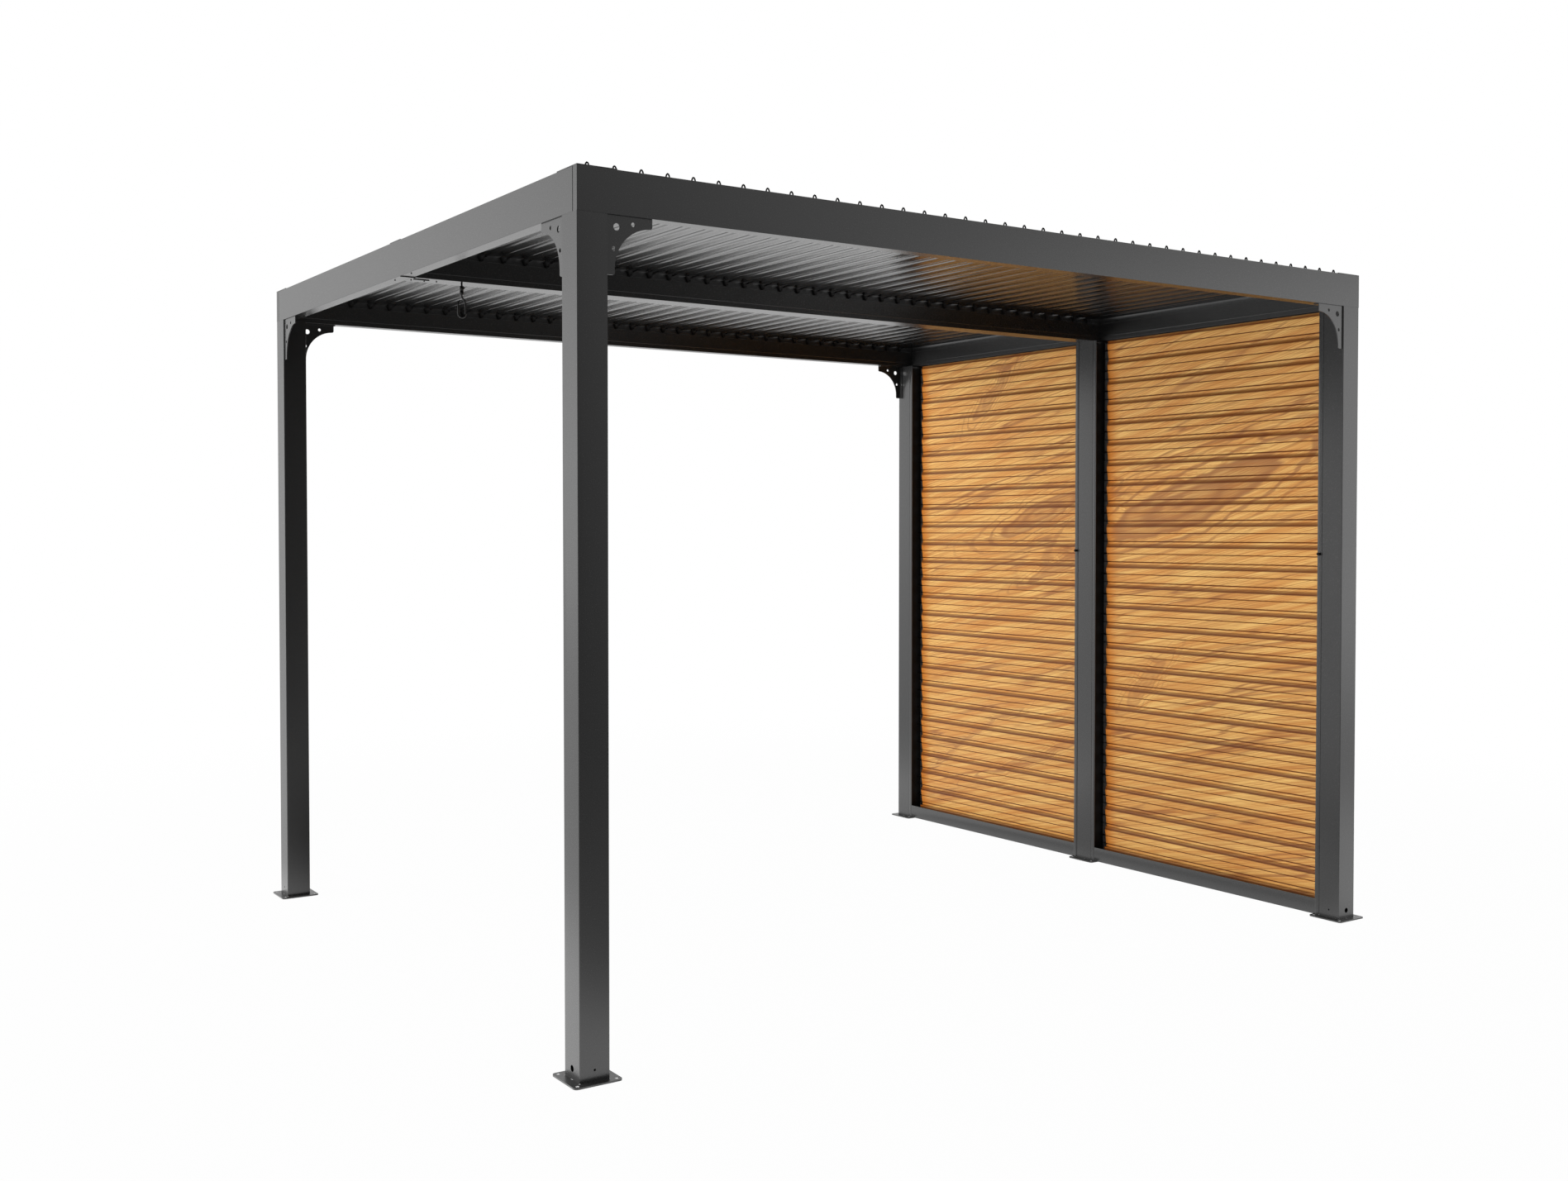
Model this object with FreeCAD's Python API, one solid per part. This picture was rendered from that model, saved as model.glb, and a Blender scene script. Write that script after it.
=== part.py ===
import FreeCAD
import Part
import math
import os

# A free-standing aluminium pergola with a roof of tilting blades and one louvred side wall.
# Millimetres, Z up. The origin is on the ground under the middle of the roof.
# X runs along the front beam, Y from the front beam to the back beam.
# The louvred wall closes the +X side.

# Overall frame
frame_length = 3346.0        # outside of the posts along X
frame_depth = 2774.0         # outside of the posts along Y
beam_bottom_z = 2375.0       # clear height under the beams
beam_height = 122.5
post_size = 92.0
post_wall = 3.0

# Perimeter beam section: a closed box outside, an open rain gutter inside
beam_box_width = 25.0
gutter_width = 23.0
gutter_lip_height = 77.0
beam_wall = 3.0
middle_box_width = 46.0
beam_joint_gap = 1.2         # open joint between the ends of the side beams and the front and back beams
lip_bead_height = 20.0       # drip bead on the inner face, above the beam's underside
lip_bead_size = 1.6

# Foot plates
plate_reach = 28.0           # past the post on every side
plate_thickness = 5.0
plate_corner_radius = 12.0
plate_hole_inset = 14.0
plate_hole_radius = 5.5
foot_hole_height = 35.0
foot_big_hole_radius = 9.5
foot_small_hole_radius = 3.5

# Flat caps on the beam joints
cap_length = 123.0
cap_thickness = 2.5
middle_cap_width = 96.0

# Corner gussets
gusset_run = 142.0           # along the beam
gusset_drop = 164.0          # down the post
gusset_tip = 29.0            # height of the end on the beam
gusset_toe = 25.0            # width of the end on the post
gusset_thickness = 4.0
gusset_setback = 5.0         # behind the outer face of the frame
gusset_flange = 24.0
gusset_corner_radius = 7.0
gusset_big_hole_radius = 10.0
gusset_small_hole_radius = 6.0

# Roof blades
blade_count = 39
blade_gap = 6.0              # open slot between neighbours, covered by the lap
blade_thickness = 2.5
blade_side_clearance = 6.0   # first blade, from the box of the left beam
blade_last_clearance = 4.8   # last blade, from the gutter lip of the right beam
blade_lap_rise = 10.5
blade_lap_reach = 12.0
blade_over_lip = 23.0        # blade's underside above the gutter lips
blade_end_clearance = 6.0    # from the gutter lip to the full-width end of the blade
rib_depth = 3.0
hook_setback = 3.3           # from the beam's box to the hook plate
hook_thickness = 4.0
hook_from_edge = 16.0        # hook's middle, from the blade's left edge
hook_rise = 39.0             # loop's top above the blade
hook_drop = 22.0             # foot's end below the blade
hook_strip = 2.7
foot_neck = 8.0              # height of the foot's upper part
foot_lean = 4.0
loop_shoulder = 6.0
loop_tip = 2.0
tongue_width = 20.0
pin_across = 7.0
pin_seat_gap = 0.3
pin_root = 20.0              # length of the pin's boss under the blade

# Louvred side wall
wall_frame_flange = 20.0
wall_frame_wall = 2.5
wall_frame_inset = 17.0      # channel's outer face, behind the outer face of the posts
wall_rail_height = 62.0
wall_blade_pitch = 92.1
wall_blade_overlap = 5.0     # lower edge, behind the upper edge of the next blade
wall_blade_thickness = 11.0
wall_blade_lean_deg = 7.5
wall_blade_clearance = 1.5   # from the channel's outer flange to the blade's lower edge
wall_blade_end_gap = 31.0    # from the channel's web to the blade, bridged by the pins
wall_pin_across = 7.0
wall_top_gap = 4.0

# Knobs and crank
knob_radius = 6.0
knob_length = 12.0
knob_height_z = 1421.0
crank_from_side = 225.0      # crank's axis from the outer face of the left beam
crank_from_beam_edge = 8.0
crank_rod_radius = 3.5
crank_rod_length = 32.0
crank_body_radius = 7.0
crank_body_length = 30.0
crank_ring_width = 34.0
crank_ring_height = 66.0
crank_ring_radius = 3.2

# Derived places
half_length = frame_length / 2
half_depth = frame_depth / 2
beam_top_z = beam_bottom_z + beam_height
beam_width = beam_box_width + gutter_width
middle_half = middle_box_width / 2 + gutter_width
lip_top_z = beam_bottom_z + gutter_lip_height
seat_gap = 0.3
blade_underside_z = lip_top_z + blade_over_lip
blade_first_x = -half_length + beam_box_width + blade_side_clearance
blade_last_x = half_length - beam_width - blade_last_clearance
blade_pitch = (blade_last_x - blade_first_x + blade_gap) / blade_count
plate_size = post_size + 2 * plate_reach
plate_hole_spacing = plate_size - 2 * plate_hole_inset


def box(x0, x1, y0, y1, z0, z1):
    """Block between two corners."""
    return Part.makeBox(x1 - x0, y1 - y0, z1 - z0, FreeCAD.Vector(x0, y0, z0))


def prism(points, direction):
    """Straight extrusion of a closed outline."""
    outline = Part.makePolygon([FreeCAD.Vector(*p) for p in points + points[:1]])
    return Part.Face(outline).extrude(FreeCAD.Vector(*direction))


def save(node, solids):
    """Write one node, from one solid or several that do not touch."""
    shape = solids[0] if len(solids) == 1 else Part.makeCompound(solids)
    shape.exportStep(os.path.join("parts", node + ".step"))


def mirror_x(shape):
    return shape.mirror(FreeCAD.Vector(0, 0, 0), FreeCAD.Vector(1, 0, 0))


def mirror_y(shape):
    return shape.mirror(FreeCAD.Vector(0, 0, 0), FreeCAD.Vector(0, 1, 0))


def post(middle_x, middle_y, big_side):
    """Square tube, closed on top, with a big cable hole on one side and a small hole across."""
    half = post_size / 2
    outer = box(-half, half, -half, half, plate_thickness, beam_bottom_z)
    inner_half = half - post_wall
    inner = box(-inner_half, inner_half, -inner_half, inner_half, plate_thickness, beam_bottom_z - post_wall)
    tube = outer.cut(inner)
    if big_side:
        start = FreeCAD.Vector(big_side[0] * half * 1.1, big_side[1] * half * 1.1, foot_hole_height)
        inward = FreeCAD.Vector(-big_side[0], -big_side[1], 0)
        tube = tube.cut(Part.makeCylinder(foot_big_hole_radius, half * 0.4, start, inward))
        across = FreeCAD.Vector(-big_side[1], big_side[0], 0)
        start = across * (-post_size) + FreeCAD.Vector(0, 0, foot_hole_height)
        tube = tube.cut(Part.makeCylinder(foot_small_hole_radius, post_size * 2, start, across))
    tube.translate(FreeCAD.Vector(middle_x, middle_y, 0))
    return tube


def foot_plate(middle_x, middle_y):
    """Square steel plate with round corners and four bolt holes."""
    half = plate_size / 2
    plate = box(-half, half, -half, half, 0, plate_thickness)
    upright = [e for e in plate.Edges if abs(e.Vertexes[0].Z - e.Vertexes[1].Z) > plate_thickness / 2]
    plate = plate.makeFillet(plate_corner_radius, upright)
    for side_x in (-1, 1):
        for side_y in (-1, 1):
            centre = FreeCAD.Vector(side_x * plate_hole_spacing / 2, side_y * plate_hole_spacing / 2, 0)
            plate = plate.cut(Part.makeCylinder(plate_hole_radius, plate_thickness, centre))
    plate.translate(FreeCAD.Vector(middle_x, middle_y, 0))
    return plate


def lip_bead(y, end):
    """Small drip bead along a lip that faces +Y."""
    z = beam_bottom_z + lip_bead_height
    size = lip_bead_size
    return prism([(-end, y, z - size), (-end, y, z + size), (-end, y + size, z)], (2 * end, 0, 0))


def front_beam():
    """Full-length box with a gutter behind it, the lip stopping at the side gutters."""
    y0 = -half_depth
    tube = box(-half_length, half_length, y0, y0 + beam_box_width, beam_bottom_z, beam_top_z)
    bore = box(-half_length, half_length, y0 + beam_wall, y0 + beam_box_width - beam_wall,
               beam_bottom_z + beam_wall, beam_top_z - beam_wall)
    end = half_length - beam_box_width
    floor = box(-end, end, y0 + beam_box_width, y0 + beam_width, beam_bottom_z, beam_bottom_z + beam_wall)
    end = half_length - beam_width + beam_wall
    lip = box(-end, end, y0 + beam_width - beam_wall, y0 + beam_width, beam_bottom_z, lip_top_z)
    bead = lip_bead(y0 + beam_width, end - lip_bead_size - seat_gap)
    return tube.cut(bore).fuse([floor, lip, bead]).removeSplitter()


def side_beam():
    """Left beam, butted between the front and back beams."""
    x0 = -half_length
    end = half_depth - beam_box_width - beam_joint_gap
    tube = box(x0, x0 + beam_box_width, -end, end, beam_bottom_z, beam_top_z)
    bore = box(x0 + beam_wall, x0 + beam_box_width - beam_wall, -end, end,
               beam_bottom_z + beam_wall, beam_top_z - beam_wall)
    end = half_depth - beam_width
    floor = box(x0 + beam_box_width, x0 + beam_width, -end, end, beam_bottom_z, beam_bottom_z + beam_wall)
    lip = box(x0 + beam_width - beam_wall, x0 + beam_width, -end, end, beam_bottom_z, lip_top_z)
    x, z = x0 + beam_width, beam_bottom_z + lip_bead_height
    size = lip_bead_size
    near = middle_half + seat_gap
    far = end - size - seat_gap
    bead = prism([(x, near, z - size), (x, near, z + size), (x + size, near, z)], (0, far - near, 0))
    return tube.cut(bore).fuse([floor, lip, bead, mirror_y(bead)]).removeSplitter()


def middle_beam():
    """Box between the side beams, with a gutter on both sides."""
    end = half_length - beam_width
    half_box = middle_box_width / 2
    tube = box(-end, end, -half_box, half_box, beam_bottom_z, beam_top_z)
    bore = box(-end, end, -half_box + beam_wall, half_box - beam_wall,
               beam_bottom_z + beam_wall, beam_top_z - beam_wall)
    floor = box(-end, end, half_box, middle_half, beam_bottom_z, beam_bottom_z + beam_wall)
    lip = box(-end, end, middle_half - beam_wall, middle_half, beam_bottom_z, lip_top_z)
    bead = lip_bead(middle_half, end - lip_bead_size - seat_gap)
    gutter = floor.fuse([lip, bead])
    reach = half_length - beam_box_width
    tongue = box(end, reach, -half_box, half_box, lip_top_z, beam_top_z)
    hollow = box(end, reach, -half_box + beam_wall, half_box - beam_wall, lip_top_z, beam_top_z - beam_wall)
    tongue = tongue.cut(hollow)
    return tube.cut(bore).fuse([gutter, mirror_y(gutter), tongue, mirror_x(tongue)]).removeSplitter()


def corner_cap():
    """L-shaped cap over the front left joint of the beam boxes."""
    x0, y0 = -half_length, -half_depth
    along = box(x0, x0 + cap_length, y0, y0 + beam_box_width, beam_top_z, beam_top_z + cap_thickness)
    back = box(x0, x0 + beam_box_width, y0, y0 + cap_length, beam_top_z, beam_top_z + cap_thickness)
    return along.fuse(back).removeSplitter()


def middle_cap():
    x0 = -half_length
    half = middle_cap_width / 2
    return box(x0, x0 + beam_box_width, -half, half, beam_top_z, beam_top_z + cap_thickness)


def gusset():
    """Curved gusset in the plane of the front beam, at the front left post.

    It is cut from one plate with a hollow quarter circle, and has a flange under the beam
    and one down the post.
    """
    x0 = -half_length + post_size
    y0 = -half_depth + gusset_setback
    top = beam_bottom_z
    radius = min(gusset_run - gusset_toe, gusset_drop - gusset_tip)
    centre_x = x0 + gusset_toe + radius
    centre_z = top - gusset_tip - radius
    spot = lambda x, z: FreeCAD.Vector(x, y0, z)
    slant = radius * math.sqrt(0.5)
    arc = Part.Arc(spot(centre_x, centre_z + radius), spot(centre_x - slant, centre_z + slant),
                   spot(centre_x - radius, centre_z)).toShape()
    corners = [spot(x0 + gusset_toe, centre_z), spot(x0 + gusset_toe, top - gusset_drop),
               spot(x0, top - gusset_drop), spot(x0, top), spot(x0 + gusset_run, top),
               spot(x0 + gusset_run, top - gusset_tip)]
    if gusset_run - gusset_toe > radius:
        corners.append(spot(centre_x, centre_z + radius))
    edges = [arc] + [Part.makeLine(a, b) for a, b in zip(corners, corners[1:])]
    outline = Part.Wire(Part.__sortEdges__(edges))
    plate = Part.Face(outline).extrude(FreeCAD.Vector(0, gusset_thickness, 0))
    round_spots = (spot(x0 + gusset_toe, top - gusset_drop), spot(x0 + gusset_run, top - gusset_tip))
    sharp = [e for e in plate.Edges for place in round_spots
             if e.Length < gusset_thickness * 1.1 and min(v.Point.distanceToPoint(place) for v in e.Vertexes) < 0.1]
    plate = plate.makeFillet(gusset_corner_radius, sharp)
    holes = ((31.0, 32.0, gusset_big_hole_radius), (82.0, 21.0, gusset_small_hole_radius),
             (22.0, 92.0, gusset_small_hole_radius))
    for along, down, hole_radius in holes:
        centre = spot(x0 + along, top - down)
        plate = plate.cut(Part.makeCylinder(hole_radius, gusset_thickness, centre, FreeCAD.Vector(0, 1, 0)))
    under_beam = box(x0, x0 + gusset_run, y0, y0 + gusset_flange, top - gusset_thickness, top)
    down_post = box(x0, x0 + gusset_thickness, y0, y0 + gusset_flange, top - gusset_drop, top)
    return plate.fuse([under_beam, down_post]).removeSplitter()


def swap_sides(shape):
    """Mirror in the corner's diagonal, from the front plane to the left plane."""
    turned = shape.copy()
    corner = FreeCAD.Vector(-half_length, -half_depth, 0)
    return turned.mirror(corner, FreeCAD.Vector(1, -1, 0))


def roof_blade(number):
    """One blade position: a blade over each bay, both on one axis."""
    left = blade_first_x + number * blade_pitch
    width = blade_pitch - blade_gap
    right = left + width
    bottom = blade_underside_z
    top = bottom + blade_thickness
    rib = bottom - rib_depth
    front = -half_depth + beam_width + blade_end_clearance
    back = -middle_half - blade_end_clearance
    lap_top = bottom + blade_lap_rise
    ribs = [(0.0, rib), (0.25, rib), (0.28, bottom), (0.32, bottom), (0.35, rib), (0.52, rib),
            (0.64, bottom), (0.90, bottom), (1.0, rib)]
    section = [(left + share * width, z) for share, z in ribs]
    section += [(right, top), (left + blade_thickness, top), (left + blade_thickness, lap_top)]
    if number > 0:
        section += [(left - blade_lap_reach, lap_top), (left - blade_lap_reach, lap_top - blade_thickness),
                    (left, lap_top - blade_thickness)]
    else:
        section.append((left, lap_top))
    deck = prism([(x, front, z) for x, z in section], (0, back - front, 0))
    hook_x = left + hook_from_edge
    loop_z = top + hook_rise
    foot_z = bottom - hook_drop
    half = tongue_width / 2
    front_plate = -half_depth + beam_box_width + hook_setback
    back_plate = -middle_box_width / 2 - hook_setback
    tongues = [box(hook_x - half, hook_x + half, front_plate, front, bottom, top),
               box(hook_x - half, hook_x + half, back, back_plate, bottom, top)]
    foot = [(hook_x + half, bottom), (hook_x + half, top), (hook_x - half, top), (hook_x - half, bottom),
            (hook_x - foot_lean, bottom - foot_neck), (hook_x + foot_lean, foot_z),
            (hook_x + 2 * foot_lean, foot_z + hook_strip), (hook_x + foot_lean / 2, bottom - foot_neck)]
    arch = [(hook_x - half, top), (hook_x - loop_shoulder, loop_z - loop_shoulder),
            (hook_x - loop_tip, loop_z), (hook_x + loop_tip, loop_z), (hook_x + half, top),
            (hook_x + half - hook_strip, top), (hook_x + loop_tip / 2, loop_z - hook_strip),
            (hook_x - loop_tip / 2, loop_z - hook_strip),
            (hook_x - loop_shoulder + hook_strip, loop_z - loop_shoulder - loop_tip / 2),
            (hook_x - half + hook_strip, top)]
    pieces = [prism([(x, front_plate, z) for x, z in foot], (0, hook_thickness, 0)),
              prism([(x, front_plate, z) for x, z in arch], (0, hook_thickness, 0)),
              prism([(x, back_plate - hook_thickness, z) for x, z in foot], (0, hook_thickness, 0))]
    axis_x, axis_z = blade_axis(number)
    half_pin = pin_across / 2
    front_seat = -half_depth + beam_box_width + pin_seat_gap
    back_seat = -middle_box_width / 2 - pin_seat_gap
    pins = [box(axis_x - half_pin, axis_x + half_pin, front_seat, front + pin_root,
                axis_z - half_pin, axis_z + half_pin),
            box(axis_x - half_pin, axis_x + half_pin, back - pin_root, back_seat,
                axis_z - half_pin, axis_z + half_pin)]
    blade = deck.fuse(tongues + pieces + pins).removeSplitter()
    rear = blade.copy()
    rear.translate(FreeCAD.Vector(0, half_depth - beam_box_width + middle_box_width / 2, 0))
    return [blade, rear]


def blade_axis(number):
    """Middle of the blade's width, where its pins are."""
    left = blade_first_x + number * blade_pitch
    return left + (blade_pitch - blade_gap) / 2, blade_underside_z + blade_thickness / 2


def wall_bay():
    """Ends of the front wall bay along Y, between the post and the middle post."""
    return -half_depth + post_size, -post_size / 2


def wall_frame():
    """Channel up both posts, and a rail along the ground between them."""
    y0, y1 = wall_bay()
    x0, x1 = half_length - post_size, half_length - wall_frame_inset
    z0, z1 = plate_thickness, beam_bottom_z
    wall = wall_frame_wall
    near = box(x0, x1, y0, y0 + wall, z0, z1)
    near_inner = box(x0, x0 + wall, y0, y0 + wall_frame_flange, z0, z1)
    near_outer = box(x1 - wall, x1, y0, y0 + wall_frame_flange, z0, z1)
    far = box(x0, x1, y1 - wall, y1, z0, z1)
    far_inner = box(x0, x0 + wall, y1 - wall_frame_flange, y1, z0, z1)
    far_outer = box(x1 - wall, x1, y1 - wall_frame_flange, y1, z0, z1)
    rail_floor = box(x0, x1, y0, y1, z0, z0 + wall)
    rail_inner = box(x0, x0 + wall, y0, y1, z0, z0 + wall_rail_height)
    rail_outer = box(x1 - wall, x1, y0, y1, z0, z0 + wall_rail_height)
    return near.fuse([near_inner, near_outer, far, far_inner, far_outer,
                      rail_floor, rail_inner, rail_outer]).removeSplitter()


def wall_blades():
    """Leaning wood-effect blades, upper edge towards the inside, and a filler in the rail.

    The inner face has two broad bands and a narrow one, with a groove between each, and
    the upper edge is cut back, so that a shadow line shows. The lower edge of each blade
    stands behind the upper edge of the next one, so that no light shows between them.
    """
    y0, y1 = wall_bay()
    near_web = y0 + wall_frame_wall
    far_web = y1 - wall_frame_wall
    near_end = near_web + wall_blade_end_gap
    far_end = far_web - wall_blade_end_gap
    top_z = beam_bottom_z - wall_top_gap
    floor_z = plate_thickness + wall_frame_wall
    count = int((top_z - plate_thickness - wall_rail_height) / wall_blade_pitch)
    lean = math.radians(wall_blade_lean_deg)
    rise, run = math.cos(lean), math.sin(lean)
    width = wall_blade_pitch * rise + wall_blade_overlap
    half = wall_blade_thickness / 2
    middle_x = half_length - wall_frame_inset - wall_frame_wall - wall_blade_clearance
    middle_x -= half * rise + width / 2 * run
    low, high = -width / 2, width / 2
    groove = wall_blade_thickness / 6
    ledge = high - 0.125 * wall_blade_pitch
    lower_groove = low + wall_blade_overlap + 0.14 * wall_blade_pitch
    upper_groove = lower_groove + 0.40 * wall_blade_pitch
    section = [(-half, low), (half, low), (half, high), (0, high), (-groove, ledge), (-half, ledge),
               (-half, upper_groove + groove), (groove - half, upper_groove), (-half, upper_groove - groove),
               (-half, lower_groove + groove), (groove - half, lower_groove), (-half, lower_groove - groove)]
    pin = wall_pin_across / 2
    blades = []
    for number in range(count):
        z = top_z - high * rise - number * wall_blade_pitch
        turned = []
        for across, up in section:
            turned.append((middle_x + across * rise - up * run, near_end, z + across * run + up * rise))
        blade = prism(turned, (0, far_end - near_end, 0))
        pin_x = middle_x - upper_groove * run
        pin_z = z + upper_groove * rise
        pins = [box(pin_x - pin, pin_x + pin, near_web + seat_gap, near_end, pin_z - pin, pin_z + pin),
                box(pin_x - pin, pin_x + pin, far_end, far_web - seat_gap, pin_z - pin, pin_z + pin)]
        blades.append(blade.fuse(pins).removeSplitter())
    filler_x = middle_x - width / 2 * run - half - wall_blade_clearance
    filler_top = top_z - count * wall_blade_pitch
    blades.append(box(filler_x, filler_x + half, near_end, far_end, floor_z + seat_gap, filler_top))
    return blades


def knob(y):
    centre = FreeCAD.Vector(half_length - post_size, y, knob_height_z)
    return Part.makeCylinder(knob_radius, knob_length, centre, FreeCAD.Vector(-1, 0, 0))


def crank_place():
    return -half_length + crank_from_side, -middle_half + crank_from_beam_edge


def crank_body():
    """Short housing under the middle beam."""
    x, y = crank_place()
    start = FreeCAD.Vector(x, y, beam_bottom_z - crank_body_length)
    return Part.makeCylinder(crank_body_radius, crank_body_length, start)


def crank_eye():
    """Rod with the long eye for the crank handle."""
    x, y = crank_place()
    top = beam_bottom_z - crank_body_length - seat_gap
    rod = Part.makeCylinder(crank_rod_radius, crank_rod_length,
                            FreeCAD.Vector(x, y, top - crank_rod_length))
    outer_half = crank_ring_width / 2
    wire = 2 * crank_ring_radius
    ring_top = top - crank_rod_length + wire / 2
    outer = slot_plate(x, y, outer_half, ring_top - crank_ring_height, ring_top, wire)
    inner = slot_plate(x, y, outer_half - wire, ring_top - crank_ring_height + wire, ring_top - wire, wire)
    return outer.cut(inner).fuse(rod).removeSplitter()


def slot_plate(x, y, half, bottom_z, top_z, thickness):
    """Upright plate with round ends, in the plane of the beam."""
    spot = lambda across, z: FreeCAD.Vector(x + across, y - thickness / 2, z)
    edges = [Part.makeLine(spot(-half, bottom_z + half), spot(-half, top_z - half)),
             Part.Arc(spot(-half, top_z - half), spot(0, top_z), spot(half, top_z - half)).toShape(),
             Part.makeLine(spot(half, top_z - half), spot(half, bottom_z + half)),
             Part.Arc(spot(half, bottom_z + half), spot(0, bottom_z), spot(-half, bottom_z + half)).toShape()]
    return Part.Face(Part.Wire(edges)).extrude(FreeCAD.Vector(0, thickness, 0))


def build():
    os.makedirs("parts", exist_ok=True)
    middle_x = half_length - post_size / 2
    middle_y = half_depth - post_size / 2
    posts = {
        "post_front_left": (-middle_x, -middle_y, (-1, 0)),
        "post_front_right": (middle_x, -middle_y, (0, -1)),
        "post_back_right": (middle_x, middle_y, (1, 0)),
        "post_back_left": (-middle_x, middle_y, (0, 1)),
        "post_wall_middle": (middle_x, 0, None),
    }
    for node, (x, y, big_side) in posts.items():
        save(node, [post(x, y, big_side)])
    save("foot_plates", [foot_plate(x, y) for x, y, side in posts.values()])

    front = front_beam()
    left = side_beam()
    save("beam_front", [front])
    save("beam_back", [mirror_y(front)])
    save("beam_left", [left])
    save("beam_right", [mirror_x(left)])
    save("beam_middle", [middle_beam()])

    cap = corner_cap()
    end_cap = middle_cap()
    save("joint_caps", [cap, mirror_x(cap), mirror_y(cap), mirror_x(mirror_y(cap)),
                        end_cap, mirror_x(end_cap)])

    along = gusset()
    aside = swap_sides(along)
    save("gussets", [along, aside, mirror_x(along), mirror_y(along), mirror_y(aside),
                     mirror_x(mirror_y(along))])

    for number in range(blade_count):
        save("roof_blade_%02d" % (number + 1), roof_blade(number))

    frame = wall_frame()
    blades = wall_blades()
    save("wall_frame_front", [frame])
    save("wall_frame_back", [mirror_y(frame)])
    save("wall_blades_front", blades)
    save("wall_blades_back", [mirror_y(blade) for blade in blades])
    near_y = wall_bay()[0] + wall_frame_flange / 2
    far_y = -wall_bay()[1] + wall_frame_flange / 2
    save("wall_knobs", [knob(near_y), knob(far_y)])

    save("crank_housing", [crank_body()])
    save("crank_eye", [crank_eye()])


build()
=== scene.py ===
import math
import bpy
import bmesh
from mathutils import Matrix, Vector


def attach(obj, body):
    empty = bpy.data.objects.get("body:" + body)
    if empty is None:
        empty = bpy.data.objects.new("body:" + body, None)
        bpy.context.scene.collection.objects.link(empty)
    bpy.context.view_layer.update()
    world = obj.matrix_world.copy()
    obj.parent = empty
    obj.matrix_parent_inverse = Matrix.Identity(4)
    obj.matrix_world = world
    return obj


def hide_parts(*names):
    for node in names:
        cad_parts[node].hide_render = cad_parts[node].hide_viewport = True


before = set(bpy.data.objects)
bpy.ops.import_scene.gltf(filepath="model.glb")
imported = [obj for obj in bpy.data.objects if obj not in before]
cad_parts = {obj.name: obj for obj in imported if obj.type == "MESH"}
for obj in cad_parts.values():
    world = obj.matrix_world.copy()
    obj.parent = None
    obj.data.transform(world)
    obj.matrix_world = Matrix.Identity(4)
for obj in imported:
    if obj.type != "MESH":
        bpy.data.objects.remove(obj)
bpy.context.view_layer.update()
print("stage: frame loaded, %d nodes" % len(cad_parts))


def linearColour(hexText):
    # sRGB hex to the linear values that Blender's sockets take
    parts = [int(hexText[i:i + 2], 16) / 255 for i in (1, 3, 5)]
    return tuple(c / 12.92 if c <= 0.04045 else ((c + 0.055) / 1.055) ** 2.4 for c in parts) + (1.0,)


def addNode(tree, kind, values=None, links=None, **settings):
    node = tree.nodes.new("ShaderNode" + kind)
    for name, value in settings.items():
        setattr(node, name, value)
    for socket, value in (values or {}).items():
        node.inputs[socket].default_value = value
    for socket, source in (links or {}).items():
        tree.links.new(source, node.inputs[socket])
    return node


def newMaterial(name):
    material = bpy.data.materials.new(name)
    material.use_nodes = True
    tree = material.node_tree
    tree.nodes.clear()
    return material, tree, addNode(tree, "OutputMaterial")


# Coatings: fine pimples break up the reflections, and wide clouds vary the colour a little. Real pimples, mould
# texture and bristles are 0.05 to 0.3 mm apart, and all are drawn 1.5 to 3 mm apart to show in the render
coatTexture = {
    "grainShare": 0.75, "cloudShare": 0.25, "toneRange": {"From Min": 0.25, "From Max": 0.75},
    "roughSpread": 0.008, "bumpDistance": 0.0002,
}


def coating(name, settings):
    material, tree, output = newMaterial(name)
    spot = addNode(tree, "TexCoord").outputs["Object"]
    grain, cloud = [addNode(tree, "TexNoise", {"Scale": 1 / settings[size], "Detail": detail},
                            {"Vector": spot}).outputs["Fac"]
                    for size, detail in (("grainSize", 3.0), ("cloudSize", 2.0))]
    blend = addNode(tree, "Math", {1: coatTexture["grainShare"]}, {0: grain}, operation="MULTIPLY").outputs[0]
    blend = addNode(tree, "Math", {1: coatTexture["cloudShare"]}, {0: cloud, 2: blend},
                    operation="MULTIPLY_ADD").outputs[0]
    tone = addNode(tree, "MapRange", coatTexture["toneRange"], {"Value": blend},
                   interpolation_type="SMOOTHSTEP").outputs[0]
    paint = addNode(tree, "Mix", {"A": linearColour(settings["dark"]), "B": linearColour(settings["light"])},
                    {"Factor": tone}, data_type="RGBA").outputs[2]
    rough = addNode(tree, "MapRange", {"To Min": settings["rough"] - coatTexture["roughSpread"],
                                       "To Max": settings["rough"] + coatTexture["roughSpread"]},
                    {"Value": grain}, interpolation_type="SMOOTHSTEP").outputs[0]
    bump = addNode(tree, "Bump", {"Strength": settings["bump"], "Distance": coatTexture["bumpDistance"]},
                   {"Height": grain}).outputs[0]
    shader = addNode(tree, "BsdfPrincipled", {"IOR": settings["ior"]},
                     {"Base Color": paint, "Roughness": rough, "Normal": bump})
    tree.links.new(shader.outputs[0], output.inputs[0])
    return material


# Polyester powder coat baked on extruded aluminium: anthracite, satin, with soft wide reflections
frameCoat = coating("polyester_powder_coat_anthracite", {
    "dark": "#272727", "light": "#2d2d2d", "rough": 0.27, "ior": 1.60, "bump": 0.12,
    "grainSize": 0.0025, "cloudSize": 0.30})
# The same paint on the thin roof blades, smoother, so that their ribs mirror light and dark stripes
bladeCoat = coating("polyester_powder_coat_blades", {
    "dark": "#242424", "light": "#2a2a2a", "rough": 0.19, "ior": 1.60, "bump": 0.08,
    "grainSize": 0.0025, "cloudSize": 0.30})
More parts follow.
